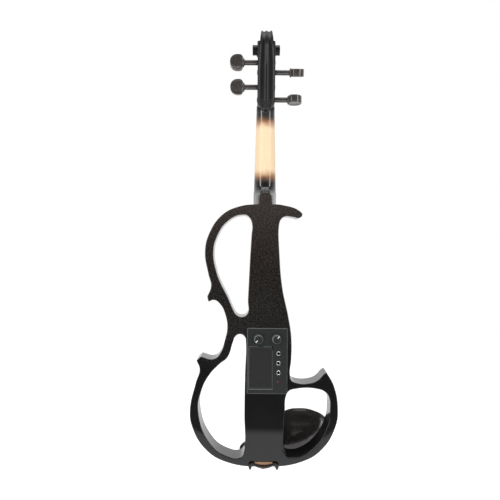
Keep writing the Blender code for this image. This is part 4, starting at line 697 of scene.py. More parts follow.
def settle(piece, name, stands, angle=40, finish=None):
    # the finished piece takes the place, the body and the finish of the CAD nodes that it stands for
    keepPlace(piece)
    piece.name = name
    piece.data.name = name
    piece.data.materials.clear()
    piece.data.materials.append(finishes[finish or slotOf[stands[0]]])
    bpy.ops.object.shade_smooth_by_angle(angle=math.radians(angle))
    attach(piece, bodyOf[stands[0]])
    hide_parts(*stands)
    return piece


def spot(x, y, z):
    # a place from the centre line, the back's plane and the shoulder
    return Vector((x, backPlane + y, shoulder + z))


def pulledOut(rows, sides=32, closed=False):
    # a ring pulled out row by row along X: each row is (along, half depth, half height)
    first = rows[0]
    for thing in bpy.context.selected_objects:
        thing.select_set(False)
    turn = (0, math.pi / 2, 0)
    bpy.ops.mesh.primitive_circle_add(vertices=sides, radius=1, location=(first[0], 0, 0), rotation=turn)
    piece = bpy.context.object
    keepPlace(piece)
    shape(piece)
    bpy.ops.transform.resize(value=(1, first[1], first[2]), center_override=(first[0], 0, 0))
    for before, row in zip(rows, rows[1:]):
        bpy.ops.mesh.extrude_edges_move(TRANSFORM_OT_translate={"value": (row[0] - before[0], 0, 0)})
        size = (1, row[1] / before[1], row[2] / before[2])
        bpy.ops.transform.resize(value=size, center_override=(row[0], 0, 0))
    bpy.ops.mesh.select_all(action="SELECT")
    if closed:
        bpy.ops.mesh.remove_doubles(threshold=0.000002)
    else:
        bpy.ops.mesh.fill_holes(sides=0)
    bpy.ops.mesh.select_all(action="SELECT")
    bpy.ops.mesh.normals_make_consistent(inside=False)
    leave()
    return piece


def turned(profile, sides=32, closed=False):
    # a round piece: each row is (along, radius)
    return pulledOut([(along, radius, radius) for along, radius in profile], sides, closed)


def faced(piece, x, z):
    # turns a piece made along X to lie along the depth, at this place of the back
    piece.rotation_euler = (0, 0, math.pi / 2)
    piece.location = spot(x, 0, z)
    keepPlace(piece)
    return piece


def block(low, high):
    for thing in bpy.context.selected_objects:
        thing.select_set(False)
    low, high = Vector(low), Vector(high)
    bpy.ops.mesh.primitive_cube_add(size=1, location=(low + high) / 2)
    piece = bpy.context.object
    piece.scale = high - low
    keepPlace(piece)
    return piece


def slab(outlines, low, high, steps=6):
    # outlines across the back, (x, z) or (x, z, "corner"), an outer one and its bays, with a thickness in depth
    curve = bpy.data.curves.new("outline", "CURVE")
    curve.dimensions = "2D"
    curve.fill_mode = "BOTH"
    curve.resolution_u = steps
    curve.extrude = (high - low) / 2
    for outline in outlines:
        spline = curve.splines.new("BEZIER")
        spline.bezier_points.add(len(outline) - 1)
        for point, knot in zip(spline.bezier_points, outline):
            point.co = (knot[0], knot[1], 0)
            point.handle_left_type = point.handle_right_type = "VECTOR" if len(knot) == 3 else "AUTO"
        spline.use_cyclic_u = True
    piece = bpy.data.objects.new("outline", curve)
    scene.collection.objects.link(piece)
    piece.rotation_euler = (math.pi / 2, 0, 0)
    piece.location = spot(0, (low + high) / 2, 0)
    choose([piece])
    bpy.ops.object.convert(target="MESH")
    piece = bpy.context.object
    keepPlace(piece)
    shape(piece)
    bpy.ops.mesh.remove_doubles(threshold=0.00001)
    bpy.ops.mesh.dissolve_limited(angle_limit=math.radians(0.5))
    bpy.ops.mesh.normals_make_consistent(inside=False)
    leave()
    return piece


def plate(low, high, corner, edge):
    # a flat block with rounded corners across the back and softer edges
    piece = block(low, high)
    pickEdges(piece, alongDepth)
    bpy.ops.mesh.bevel(offset=corner, segments=5)
    leave()
    roundOff(piece, edge, 3, 50)
    return piece


def hose(points, radius, steps=8, closed=False):
    # a round rod or lead bent smoothly through these points
    curve = bpy.data.curves.new("hose", "CURVE")
    curve.dimensions = "3D"
    curve.resolution_u = steps
    curve.bevel_depth = radius
    curve.bevel_resolution = 5
    curve.use_fill_caps = True
    spline = curve.splines.new("BEZIER")
    spline.bezier_points.add(len(points) - 1)
    for knot, place in zip(spline.bezier_points, points):
        knot.co = place
        knot.handle_left_type = knot.handle_right_type = "AUTO"
    piece = bpy.data.objects.new("hose", curve)
    scene.collection.objects.link(piece)
    choose([piece])
    bpy.ops.object.convert(target="MESH")
    piece = bpy.context.object
    shape(piece)
    bpy.ops.mesh.remove_doubles(threshold=0.000005)
    bpy.ops.mesh.normals_make_consistent(inside=False)
    leave()
    return piece


def fair(values, at):
    # the value at this place of an evenly spaced list, with smooth steps between
    index = min(int(at), len(values) - 2)
    share = at - index
    before, after = values[max(index - 1, 0)], values[min(index + 2, len(values) - 1)]
    one, two = values[index], values[index + 1]
    leaving, arriving = (two - before) / 2, (after - one) / 2
    return (
        one * (2 * share**3 - 3 * share**2 + 1)
        + leaving * (share**3 - 2 * share**2 + share)
        + two * (3 * share**2 - 2 * share**3)
        + arriving * (share**3 - share**2)
    )


def along(knots, at):
    # the value at this place of a list of (place, value), straight between
    for one, two in zip(knots, knots[1:]):
        if at <= two[0]:
            return part(one[1], two[1], max(0, (at - one[0]) / (two[0] - one[0])))
    return knots[-1][1]


def part(one, two, share):
    return one + (two - one) * share


def skin(rings):
    # a closed surface over rings of points, for a shape that no ring pulled straight can give
    work = bmesh.new()
    made = [[work.verts.new(point) for point in ring] for ring in rings]
    for one, two in zip(made, made[1:]):
        for here in range(len(one)):
            there = (here + 1) % len(one)
            work.faces.new((one[here], one[there], two[there], two[here]))
    work.faces.new(made[0])
    work.faces.new(list(reversed(made[-1])))
    return fromWork(work)


def fromWork(work):
    bmesh.ops.remove_doubles(work, verts=work.verts, dist=0.000001)
    bmesh.ops.recalc_face_normals(work, faces=work.faces)
    mesh = bpy.data.meshes.new("skin")
    work.to_mesh(mesh)
    work.free()
    piece = bpy.data.objects.new("skin", mesh)
    scene.collection.objects.link(piece)
    return piece


# CAD shapes that are right: a merged copy gets rounded edges
roundings = {
    # node: (edge width, edge segments, sharpest angle left smooth)
    "fingerboard": (0.0006, 3, 40),
    "nut": (0.0003, 2, 40),
    "saddle": (0.0004, 2, 40),
    "bridge": (0.0004, 3, 40),
    "tailpiece": (0.0005, 3, 40),
    "tail_gut": (0, 0, 70),
    "end_button": (0.0003, 2, 50),
    "clamp_bracket_left": (0.0002, 2, 50),
    "clamp_bracket_right": (0.0002, 2, 50),
    "clamp_barrel_left": (0.0002, 2, 50),
    "clamp_barrel_right": (0.0002, 2, 50),
    "rest_cork_left": (0.0003, 2, 40),
    "rest_cork_right": (0.0003, 2, 40),
    "power_lamp": (0, 0, 50),
    "battery": (0.0002, 2, 40),
    "battery_clip": (0.0004, 2, 40),
    "bridge_pickup": (0.0002, 2, 40),
    "circuit_board": (0.0002, 2, 40),
}
for letter in "cgda":
    roundings["string_" + letter] = (0, 0, 70)
    roundings["tuner_lever_" + letter] = (0.0002, 2, 40)
    roundings["tuner_screw_" + letter] = (0.00015, 2, 50)


def refine(node, edge, segments, smooth):
    piece = bpy.data.objects.new(node + "Shape", nodes[node].data.copy())
    scene.collection.objects.link(piece)
    choose([piece])
    bpy.ops.mesh.customdata_custom_splitnormals_clear()
    shape(piece)
    bpy.ops.mesh.remove_doubles(threshold=0.00002)
    bpy.ops.mesh.dissolve_limited(angle_limit=math.radians(1))
    leave()
    if edge:
        roundOff(piece, edge, segments)
    settle(piece, node + "Shape", [node], smooth)
    if edge:
        modify(piece, "WEIGHTED_NORMAL", {"keep_sharp": True, "weight": 80})
    return piece


def refineNodes():
    for node, (edge, segments, smooth) in roundings.items():
        refine(node, edge, segments, smooth)
    print("rounded the edges of", len(roundings), "pieces")


# body: one routed slab with three bays
bodyShape = {
    "front": 0.036,
    "edge": 0.0012,
    "heel": (0.0365, 0.0040, 0.0182),
    "panelSeat": ((-0.0272, -0.2937), (0.0360, -0.1915), 0.0021),
    "cavity": ((-0.0234, -0.2899), (0.0322, -0.1953), 0.0250),
    "mortise": (0.0113, 0.0144, -0.0083),
    "pickup": (0.0248, 0.0348, -0.22255, -0.21745),
    "leadHole": (0.0205, -0.2200, 0.0013),
    "button": (0.0180, 0.0038, 0.0203),
    "saddle": (0.0133, 0.0300, -0.3996),
}
bodyOutline = [(-0.0106, 0.0, "corner"), (-0.03896, -0.00358), (-0.06567, -0.0163), (-0.08721, -0.04726)]
bodyOutline += [(-0.09306, -0.07518), (-0.08755, -0.10912), (-0.0832, -0.12757), (-0.08904, -0.14387, "corner")]
bodyOutline += [(-0.0871, -0.15179, "corner"), (-0.07804, -0.14927), (-0.06899, -0.15549), (-0.06039, -0.173)]
bodyOutline += [(-0.05764, -0.19308), (-0.06097, -0.20982), (-0.06876, -0.23193), (-0.07839, -0.24039)]
bodyOutline += [(-0.09844, -0.23681, "corner"), (-0.10509, -0.24274, "corner"), (-0.09993, -0.2564)]
bodyOutline += [(-0.10543, -0.27611), (-0.11455, -0.32037), (-0.11139, -0.3441), (-0.08904, -0.38112)]
bodyOutline += [(-0.05833, -0.39941), (0.0, -0.4064), (0.05925, -0.39852), (0.08973, -0.3797), (0.11151, -0.34251)]
bodyOutline += [(0.11455, -0.31874), (0.10807, -0.2807), (0.09672, -0.25989, "corner"), (0.09157, -0.26323, "corner")]
bodyOutline += [(0.08274, -0.27241), (0.07266, -0.2766), (0.0509, -0.2768), (0.0425, -0.27282), (0.0399, -0.2642)]
bodyOutline += [(0.0418, -0.23921), (0.0416, -0.20552), (0.0367, -0.17402), (0.0273, -0.1305), (0.0225, -0.0803)]
bodyOutline += [(0.0217, -0.03056), (0.0241, -0.02414), (0.0294, -0.01959), (0.04389, -0.0202), (0.05203, -0.0215)]
bodyOutline += [(0.0573, -0.01638), (0.05295, -0.01053), (0.02705, -0.0015), (0.0106, 0.0, "corner")]
bodyOutline += [(0.0106, 0.0076, "corner"), (0.00811, 0.01443), (0.0, 0.0182), (-0.00811, 0.01443)]
bodyOutline += [(-0.0106, 0.0076, "corner")]
upperBay = [(-0.05694, -0.02593), (-0.07542, -0.05275), (-0.08006, -0.07526), (-0.07478, -0.10671)]
upperBay += [(-0.0692, -0.12123), (-0.05729, -0.1446), (-0.04709, -0.16711), (-0.04408, -0.17157)]
upperBay += [(-0.03544, -0.17507), (-0.027, -0.17057), (-0.026, -0.14878), (-0.0235, -0.08965), (-0.0211, -0.04706)]
upperBay += [(-0.0203, -0.03198), (-0.026, -0.01955), (-0.03404, -0.01691)]
lowerLeftBay = [(-0.04533, -0.20557), (-0.04847, -0.2134), (-0.05747, -0.23837), (-0.06876, -0.24782)]
lowerLeftBay += [(-0.0848, -0.26509), (-0.09695, -0.2894), (-0.10165, -0.3215), (-0.08098, -0.37338)]
lowerLeftBay += [(-0.05592, -0.39091), (-0.038, -0.39315), (-0.0322, -0.38905), (-0.0296, -0.38031)]
lowerLeftBay += [(-0.0302, -0.3261), (-0.0297, -0.26493), (-0.0287, -0.21442), (-0.0302, -0.20617), (-0.03776, -0.20157)]
lowerRightBay = [(0.047, -0.286), (0.08423, -0.286), (0.095, -0.2908), (0.10062, -0.29879), (0.10227, -0.31943)]
lowerRightBay += [(0.10007, -0.33785), (0.08156, -0.37207), (0.05658, -0.38954), (0.044, -0.39169)]
lowerRightBay += [(0.0355, -0.39027), (0.0309, -0.38234), (0.0303, -0.36275), (0.0323, -0.32), (0.0343, -0.2963)]
lowerRightBay += [(0.0389, -0.289)]


def makeBody():
    front = bodyShape["front"]
    body = slab([bodyOutline, upperBay, lowerLeftBay, lowerRightBay], 0, front, 12)
    roundOff(body, bodyShape["edge"], 4, 32)
    half, button, high = bodyShape["heel"]
    carve(body, block(spot(-half, button, -0.0003), spot(half, front + 0.01, high + 0.01)))
    for word in ("panelSeat", "cavity"):
        low, far, depth = bodyShape[word]
        carve(body, block(spot(low[0], -0.01, low[1]), spot(far[0], depth, far[1])))
    half, floor, low = bodyShape["mortise"]
    carve(body, block(spot(-half, floor, low), spot(half, front + 0.01, 0.01)))
    half, floor, low, high = bodyShape["pickup"]
    carve(body, block(spot(-half, floor, low), spot(half, front + 0.01, high)))
    x, z, radius = bodyShape["leadHole"]
    carve(body, faced(turned([(0.023, radius), (0.038, radius)], 24), x, z))
    depth, radius, long = bodyShape["button"]
    hole = turned([(-0.01, radius), (long, radius)], 40)
    hole.rotation_euler = (0, -math.pi / 2, 0)
    hole.location = spot(0, depth, bodyOutline[24][1])
    carve(body, hole)
    half, floor, high = bodyShape["saddle"]
    carve(body, block(spot(-half, floor, -0.42), spot(half, front + 0.01, high)))
    settle(body, "routedBody", ["body"], 38)
    modify(body, "WEIGHTED_NORMAL", {"keep_sharp": True, "weight": 80})
    print("routed the body,", len(body.data.polygons), "faces")


# neck, pegbox and scroll
neckShape = {
    "length": 0.151,
    "thick": 0.0118,
    "nut": 0.005,
    "glueFront": 0.043,
    "slope": 0.070,
    "boardNut": 0.0288,
    "boardEnd": 0.0450,
    "boardLength": 0.317,
    "heel": 0.0182,
    "heelSide": 0.0365,
    "heelWidth": 0.0212,
    "heelButton": 0.0043,
    "tenon": (0.011, 0.0273, 0.0357, 0.008),
    "boxWidth": 0.0272,
    "boxWall": 0.0057,
    "boxTop": 0.0762,
    "eyeRise": 0.0950,
    "eyeFall": 0.0094,
    "eyeWidth": 0.0432,
    "flute": 0.0017,
    "pegHole": 0.0046,
}
# a value for each quarter turn, from the pegbox's back inwards
scrollRadii = [0.0287, 0.0293, 0.0245, 0.0190, 0.0162, 0.0138, 0.0116, 0.0098, 0.0086, 0.0080]
scrollRadii += [0.0077, 0.0075, 0.0073, 0.0072]
scrollWidths = [0.49, 0.33, 0.37, 0.49, 0.63, 0.65, 0.66, 0.68, 0.88, 1.0, 1.0, 1.0, 1.0, 1.0]
scrollSteps = 14
acrossSteps = 32
scoopSteps = 6


def glueDepth(z):
    return neckShape["glueFront"] - neckShape["slope"] * z


def boardWidth(z):
    share = (neckShape["length"] - z) / neckShape["boardLength"]
    return part(neckShape["boardNut"], neckShape["boardEnd"], share)


def neckRing(z, depth, topWidth, backWidth, power, count=15):
    front = glueDepth(z)
    points = []
    for number in range(count):
        angle = math.pi / 2 * number / (count - 1)
        share = math.sin(angle) ** (2 / power)
        half = part(topWidth, backWidth, share) / 2
        points.append(spot(half * math.cos(angle) ** (2 / power), front - depth * share, z))
    return points + [Vector((-point.x, point.y, point.z)) for point in reversed(points[:-1])]


def makeShaft():
    long, thick, heel = (neckShape[word] for word in ("length", "thick", "heel"))
    side, button, narrow = (neckShape[word] for word in ("heelSide", "heelButton", "heelWidth"))
    rows = [
        (long + neckShape["nut"] + 0.003, thick, neckShape["boardNut"], neckShape["boardNut"] * 0.92, 2.1),
        (long * 0.85, thick, boardWidth(long * 0.85), 0.0270, 2.1),
        (long * 0.5, thick + 0.0006, boardWidth(long * 0.5), 0.0280, 2.1),
        (heel + 0.022, thick + 0.0014, boardWidth(heel + 0.022), 0.0300, 2.2),
        (heel + 0.012, thick + 0.0034, boardWidth(heel + 0.012), 0.0290, 2.4),
        (heel + 0.006, thick + 0.0075, boardWidth(heel + 0.006), 0.0270, 2.7),
        (heel + 0.001, thick + 0.0165, side, 0.0230, 3.2),
        (heel - 0.003, glueDepth(heel - 0.003) - button, side, narrow, 4.5),
        (0.0003, glueDepth(0) - button, side, narrow, 5.0),
    ]
    rings = []
    for one, two in zip(rows, rows[1:]):
        for number in range(4):
            rings.append(neckRing(*(part(a, b, number / 4) for a, b in zip(one, two))))
    return skin(rings + [neckRing(*rows[-1])])


def fluteAt(share):
    # how far the back lies in at this share of its half width: two hollows, a ridge and rounded edges
    inner = min(max((abs(share) - 0.045) / 0.865, 0), 1)
    return 1 - abs(2 * inner - 1) ** 2.3


def makePegbox():
    long, half = neckShape["length"], neckShape["boxWidth"] / 2
    front = glueDepth(long)
    chin, joint = -0.0070, neckShape["eyeRise"] + 0.0045
    back = [(chin, 0.0099), (0.0010, 0.0189), (0.0130, 0.0256), (0.0340, 0.0319), (0.0640, 0.0368), (joint, 0.0376)]
    ribbon = [(0.0560, half), (0.0840, half - 0.0014), (joint, scrollWidths[0] * neckShape["eyeWidth"] / 2)]
    fore = [(chin, 0.0095), (0.0004, 0.0002), (neckShape["boxTop"], 0.0118), (joint, 0.0174)]
    heart = [(-0.0052, 0.0004), (-0.0040, 0.0030), (-0.0010, 0.0060), (0.0030, 0.0096), (0.0065, 0.0128)]
    heart += [(0.0085, half), (joint - 0.0032, half), (joint - 0.0014, half - 0.0005), (joint - 0.0005, half - 0.0014)]
    heart += [(joint, half - 0.0030)]
    falls = [fall for rise, fall in back]
    rings = []
    for number in range(97):
        rise = part(-0.0052, joint, (number / 96) ** 1.25)
        index = max(place for place, knot in enumerate(back[:-1]) if knot[0] <= rise)
        share = (rise - back[index][0]) / (back[index + 1][0] - back[index][0])
        fall = fair(falls, index + share)
        wide = along(heart, rise)
        depth = neckShape["flute"] * min(1, wide / half + 0.1) * min(1, (rise - chin) / 0.012)
        ring = []
        fluted = min(along(ribbon, rise), wide)
        for step in range(acrossSteps + 1):
            x = wide * math.sin(math.pi * (0.5 - step / acrossSteps))
            edge = max(0, abs(x) - wide * 0.93) / (wide * 0.07)
            lie = fluteAt(x / fluted) * depth + (1 - math.sqrt(max(0, 1 - edge * edge))) * 0.0012 * wide / half
            lie += max(0, abs(x) - fluted) * 0.35
            ring.append(spot(x, front - fall + lie, long + rise))
        frontDepth = front - along(fore, rise)
        ring += [spot(-wide, frontDepth, long + rise), spot(wide, frontDepth, long + rise)]
        rings.append(ring)
    return skin(rings)


def makeScroll():
    work = bmesh.new()
    centre = spot(0, glueDepth(neckShape["length"]) - neckShape["eyeFall"], neckShape["length"] + neckShape["eyeRise"])
    turn = 4 * scrollSteps
    last = (len(scrollRadii) - 1) * scrollSteps

    def wideAt(number):
        return fair(scrollWidths, number / scrollSteps) * neckShape["eyeWidth"] / 2

    def corner(number, x, radius):
        angle = math.pi - number / scrollSteps * math.pi / 2
        return work.verts.new((x, centre.y + radius * math.cos(angle), centre.z + radius * math.sin(angle)))

    def edge(number, side, radiusAt):
        return corner(number, side * wideAt(number), fair(scrollRadii, radiusAt / scrollSteps))

    sides = {}
    for side in (1, -1):
        outer = [edge(number, side, number) for number in range(last + 1)]
        inner = [edge(number, side, number + turn) for number in range(last - turn + 1)]
        scoops = []
        for number in range(last - turn + 1):
            large, small = (fair(scrollRadii, at / scrollSteps) for at in (number, number + turn))
            row = [outer[number]]
            for step in range(1, scoopSteps):
                share = step / scoopSteps
                x = wideAt(number) - min(0.0013, (large - small) * 0.16) * math.sin(math.pi * share**0.8)
                row.append(corner(number, side * x, part(large, small, share)))
            scoops.append(row + [inner[number]])
        for number in range(last - turn):
            one, two = scoops[number], scoops[number + 1]
            for step in range(scoopSteps):
                work.faces.new((one[step], two[step], two[step + 1], one[step + 1]))
            work.faces.new((inner[number], inner[number + 1], outer[number + turn + 1], outer[number + turn]))
        eye = work.verts.new((outer[last].co.x, centre.y, centre.z))
        work.faces.new((*scoops[-1], outer[last]))
        work.faces.new((outer[last - turn], outer[last - turn + 1], eye, outer[last]))
        for number in range(last - turn + 1, last):
            work.faces.new((outer[number], outer[number + 1], eye))
        sides[side] = outer, scoops
    (right, rightScoops), (left, leftScoops) = sides[1], sides[-1]
    rows = []
    for number in range(turn + 1):
        radius = fair(scrollRadii, number / scrollSteps)
        depth = neckShape["flute"] * along([(0, 1), (2.4 * scrollSteps, 1), (turn, 0)], number)
        row = [right[number]]
        for step in range(1, acrossSteps):
            share = 1 - 2 * step / acrossSteps
            row.append(corner(number, share * wideAt(number), radius - fluteAt(share) * depth))
        rows.append(row + [left[number]])
    for one, two in zip(rows, rows[1:]):
        for here in range(acrossSteps):
            work.faces.new((one[here], two[here], two[here + 1], one[here + 1]))
    work.faces.new(rows[0] + leftScoops[0][1:] + list(reversed(rows[-1])) + list(reversed(rightScoops[0]))[:-1])
    return fromWork(work)


def makeNeck():
    long, wall = neckShape["length"], neckShape["boxWidth"] / 2 - neckShape["boxWall"]
    front, top, foot = glueDepth(long), long + neckShape["boxTop"], long + neckShape["nut"]
    half, floor, high, low = neckShape["tenon"]
    neck = makeShaft()
    carve(neck, makePegbox(), "UNION")
    carve(neck, makeScroll(), "UNION")
    carve(neck, block(spot(-half, floor, -low), spot(half, high, 0.004)), "UNION")
    room = [(0.0126, foot + 0.0025), (-0.0199, foot + 0.0035), (-0.0264, foot + 0.0280), (-0.0309, foot + 0.0510)]
    room += [(-0.0314, top - 0.0050), (-0.0264, top), (0.0126, top)]
    cutter = skin([[spot(x, front + depth, z) for depth, z in room] for x in (-wall, wall)])
    roundOff(cutter, 0.0012, 3, 50, True)
    carve(neck, cutter)
    for name in pegPlaces:
        hole = neckShape["pegHole"]
        cutter = turned([(-0.03, hole), (0.03, hole)], 48)
        cutter.location = pegSpot(name)
        carve(neck, cutter)
    settle(neck, "neckAndScroll", ["neck"], 38)
    modify(neck, "WEIGHTED_NORMAL", {"keep_sharp": True, "weight": 70})
    print("carved the neck and scroll,", len(neck.data.polygons), "faces")


# pegs with flat round thumb pieces, and the turns of string on them
pegShape = {"shaft": 0.0038, "cheek": 0.0136, "thick": 0.0116}
# the thumb piece, from the middle of a face out over its edge: (share of the outline, share of the thickness)
headRows = [(0.30, 0.84), (0.55, 0.85), (0.72, 0.88), (0.83, 0.94), (0.89, 0.985), (0.925, 1.0), (0.955, 0.985)]
headRows += [(0.98, 0.93), (0.995, 0.85), (1.0, 0.74)]
pegPlaces = {
    # string: (rise from the nut, fall behind the glue line, reach, turn of the head, side)
    "c": (0.0155, 0.0129, 0.0350, 90, 1),
    "a": (0.0340, 0.0169, 0.0350, 8, -1),
    "g": (0.0560, 0.0204, 0.0376, 108, 1),
    "d": (0.0705, 0.0229, 0.0354, -6, -1),
}
stringWidths = {"c": 0.0012, "g": 0.0010, "d": 0.0009, "a": 0.0008}
windingShape = {"start": 0.0045, "gap": 0.0006, "off": 0.0003, "turns": 2}


def pegSpot(name):
    rise, fall = pegPlaces[name][:2]
    return spot(0, glueDepth(neckShape["length"]) - fall, neckShape["length"] + rise)


def makeHead(reach, thick):
    # round at the tip and nearly flat towards the collar
    middle, rings = 0.0100, []
    for share, level in headRows + [(share, -level) for share, level in reversed(headRows)]:
        ring = []
        for number in range(72):
            angle = math.tau * (number + 0.5) / 72
            across, up = math.cos(angle), math.sin(angle)
            long, bend = (0.0114, 1.0) if across > 0 else (0.0096, 0.50)
            x = middle + share * math.copysign(long * abs(across) ** bend, across)
            z = share * math.copysign(0.0118 * abs(up) ** 0.88, up)
            ring.append((reach + x, -thick * level, z))
        rings.append(ring)
    return skin(rings)


def makePeg(name):
    reach, turn, side = pegPlaces[name][2:]
    radius, cheek, thick = pegShape["shaft"], pegShape["cheek"], pegShape["thick"] / 2
    rows = [(-cheek - 0.0008, radius * 0.80), (-cheek - 0.0006, radius * 0.86), (-cheek, radius * 0.94), (cheek, radius)]
    rows += [(cheek + 0.0010, radius + 0.0002), (reach - 0.0016, radius + 0.0003), (reach - 0.0012, radius + 0.0010)]
    rows += [(reach - 0.0008, thick * 1.10), (reach, thick * 1.20), (reach + 0.0012, thick * 1.20)]
    rows += [(reach + 0.0020, thick * 1.10), (reach + 0.0026, thick * 0.90), (reach + 0.0034, thick * 0.60)]
    shaft = turned(rows, 40)
    head = makeHead(reach, thick)
    carve(shaft, head, "UNION")
    shaft.rotation_euler = (math.radians(turn) * side, 0, 0 if side > 0 else math.pi)
    shaft.location = pegSpot(name)
    settle(shaft, "pegAndHead_" + name, ["peg_" + name], 40, "peg_ebony")


def makeWinding(name):
    side, radius = pegPlaces[name][4], stringWidths[name] / 2
    pitch = 2 * radius + windingShape["gap"]
    round = pegShape["shaft"] + windingShape["off"] + radius
    for thing in bpy.context.selected_objects:
        thing.select_set(False)
    start = (side * windingShape["start"], round, 0)
    bpy.ops.mesh.primitive_circle_add(vertices=16, radius=radius, location=start)
    coil = bpy.context.object
    keepPlace(coil)
    turns = {"axis": "X", "angle": math.tau, "iterations": windingShape["turns"], "steps": 48, "render_steps": 48}
    modify(coil, "SCREW", {**turns, "screw_offset": -side * pitch})
    shape(coil)
    bpy.ops.mesh.remove_doubles(threshold=0.000001)
    bpy.ops.mesh.fill_holes(sides=0)
    bpy.ops.mesh.select_all(action="SELECT")
    bpy.ops.mesh.normals_make_consistent(inside=False)
    leave()
    coil.location = pegSpot(name)
    settle(coil, "turnsOnPeg_" + name, ["winding_" + name], 60)


def makePegs():
    for name in pegPlaces:
        makePeg(name)
        makeWinding(name)
    print("made", len(pegPlaces), "pegs with their turns of string")


# control panel with its battery tray, and the door over it
lampPlace = (0.0210, -0.2742)
socketPlaces = {"line_out": -0.2302, "phones": -0.2452, "music_in": -0.2597}
socketColumn = 0.0218


def makePanel():
    panel = plate(spot(*panelShape["low"]), spot(*panelShape["high"]), panelShape["corner"], panelShape["edge"])
    low, high, wall = panelShape["tray"]
    near, far = spot(*low), spot(*high)
    thick = Vector((wall, 0, wall))
    carve(panel, block(near - thick, far + thick + Vector((0, wall, 0))), "UNION")
    carve(panel, block(near - Vector((0, 0.02, 0)), far))
    across, level, foot = doorShape["hinge"]
    left, right, top = doorShape["low"][0] - 0.0003, doorShape["high"][0] + 0.0003, doorShape["high"][2] + 0.0003
    roll = doorShape["roll"] + 0.0003
    recess = [(-0.01, foot - roll), (level + roll, foot - roll), (level + roll, foot + roll), (0.0009, foot + roll)]
    recess += [(0.0009, top), (-0.01, top)]
    carve(panel, skin([[spot(x, y, z) for y, z in recess] for x in (left, right)]))
    reach, radius = (right - left) / 2 + 0.0010, doorShape["pin"] + 0.0003
    pins = turned([(-reach, radius), (reach, radius)], 24)
    pins.location = spot(across, level, foot)
    carve(panel, pins)
    carve(panel, block(spot(0.0063, 0.0147, -0.2287), spot(0.0123, 0.0173, -0.2261)))
    holes = [(x, z, panelShape["knobHole"]) for x, z, turn in knobPlaces.values()]
    holes += [(socketColumn, z, panelShape["socketHole"]) for z in socketPlaces.values()]
    holes += [(*lampPlace, panelShape["lampHole"])]
    for x, z, radius in holes:
        carve(panel, faced(turned([(-0.01, radius), (0.01, radius)], 48), x, z))
    settle(panel, "panelAndTray", ["control_panel"], 35, "panel_plastic")
    modify(panel, "WEIGHTED_NORMAL", {"keep_sharp": True, "weight": 80})
    print("made the control panel")


def makeDoor():
    low, high = doorShape["low"], doorShape["high"]
    door = plate(spot(*low), spot(*high), doorShape["corner"], doorShape["edge"])
    side, under, over, deep = doorShape["recess"]
    face = low[1]
    hollow = block(spot(low[0] + side, face - 0.01, low[2] + over), spot(high[0] - side, face + deep, high[2] - under))
    pickEdges(hollow, alongDepth)
    bpy.ops.mesh.bevel(offset=0.0012, segments=5)
    leave()
    carve(door, hollow)
    count, gap, rise, wide = doorShape["ribs"]
    middle = (low[0] + high[0]) / 2
    for number in range(count):
        z = low[2] + rise + number * gap
        rib = block(spot(middle - wide / 2, face + 0.0001, z - 0.0004), spot(middle + wide / 2, face + 0.0008, z + 0.0004))
        roundOff(rib, 0.00025, 3, 50)
        carve(door, rib, "UNION")
    wide, deep = doorShape["latch"]
    notch = turned([(0, wide), (0.004, wide)], 48)
    carve(door, faced(notch, middle, high[2] + wide - deep))
    across, level, foot = doorShape["hinge"]
    half = (high[0] - low[0]) / 2
    roll, pin = doorShape["roll"], doorShape["pin"]
    profile = [(-half - 0.0010, pin), (-half, pin), (-half, roll - 0.0002), (-half + 0.0002, roll)]
    profile += [(half - 0.0002, roll), (half, roll - 0.0002), (half, pin), (half + 0.0010, pin)]
    rod = turned(profile, 32)
    rod.location = spot(across, level, foot)
    carve(door, rod, "UNION")
    tongue = block(spot(middle - 0.0040, level + 0.0004, foot + 0.0621), spot(middle + 0.0040, 0.0025, foot + 0.0631))
    carve(door, tongue, "UNION")
    settle(door, "doorPlate", ["battery_door"], 35, "door_plastic")
    modify(door, "WEIGHTED_NORMAL", {"keep_sharp": True, "weight": 80})
    print("made the battery door")


# volume and tone controls
knobShape = {
    "radius": 0.0075,
    "base": -0.0015,
    "top": -0.0067,
    "roof": 0.0016,
    "bore": 0.0033,
    "notches": 36,
    "pointer": (0.0022, 0.0064, 0.0006, 0.0004),
    "shaft": (0.0030, -0.0048, 0.0030),
    "pot": (0.0082, 0.0033, 0.0105),
}


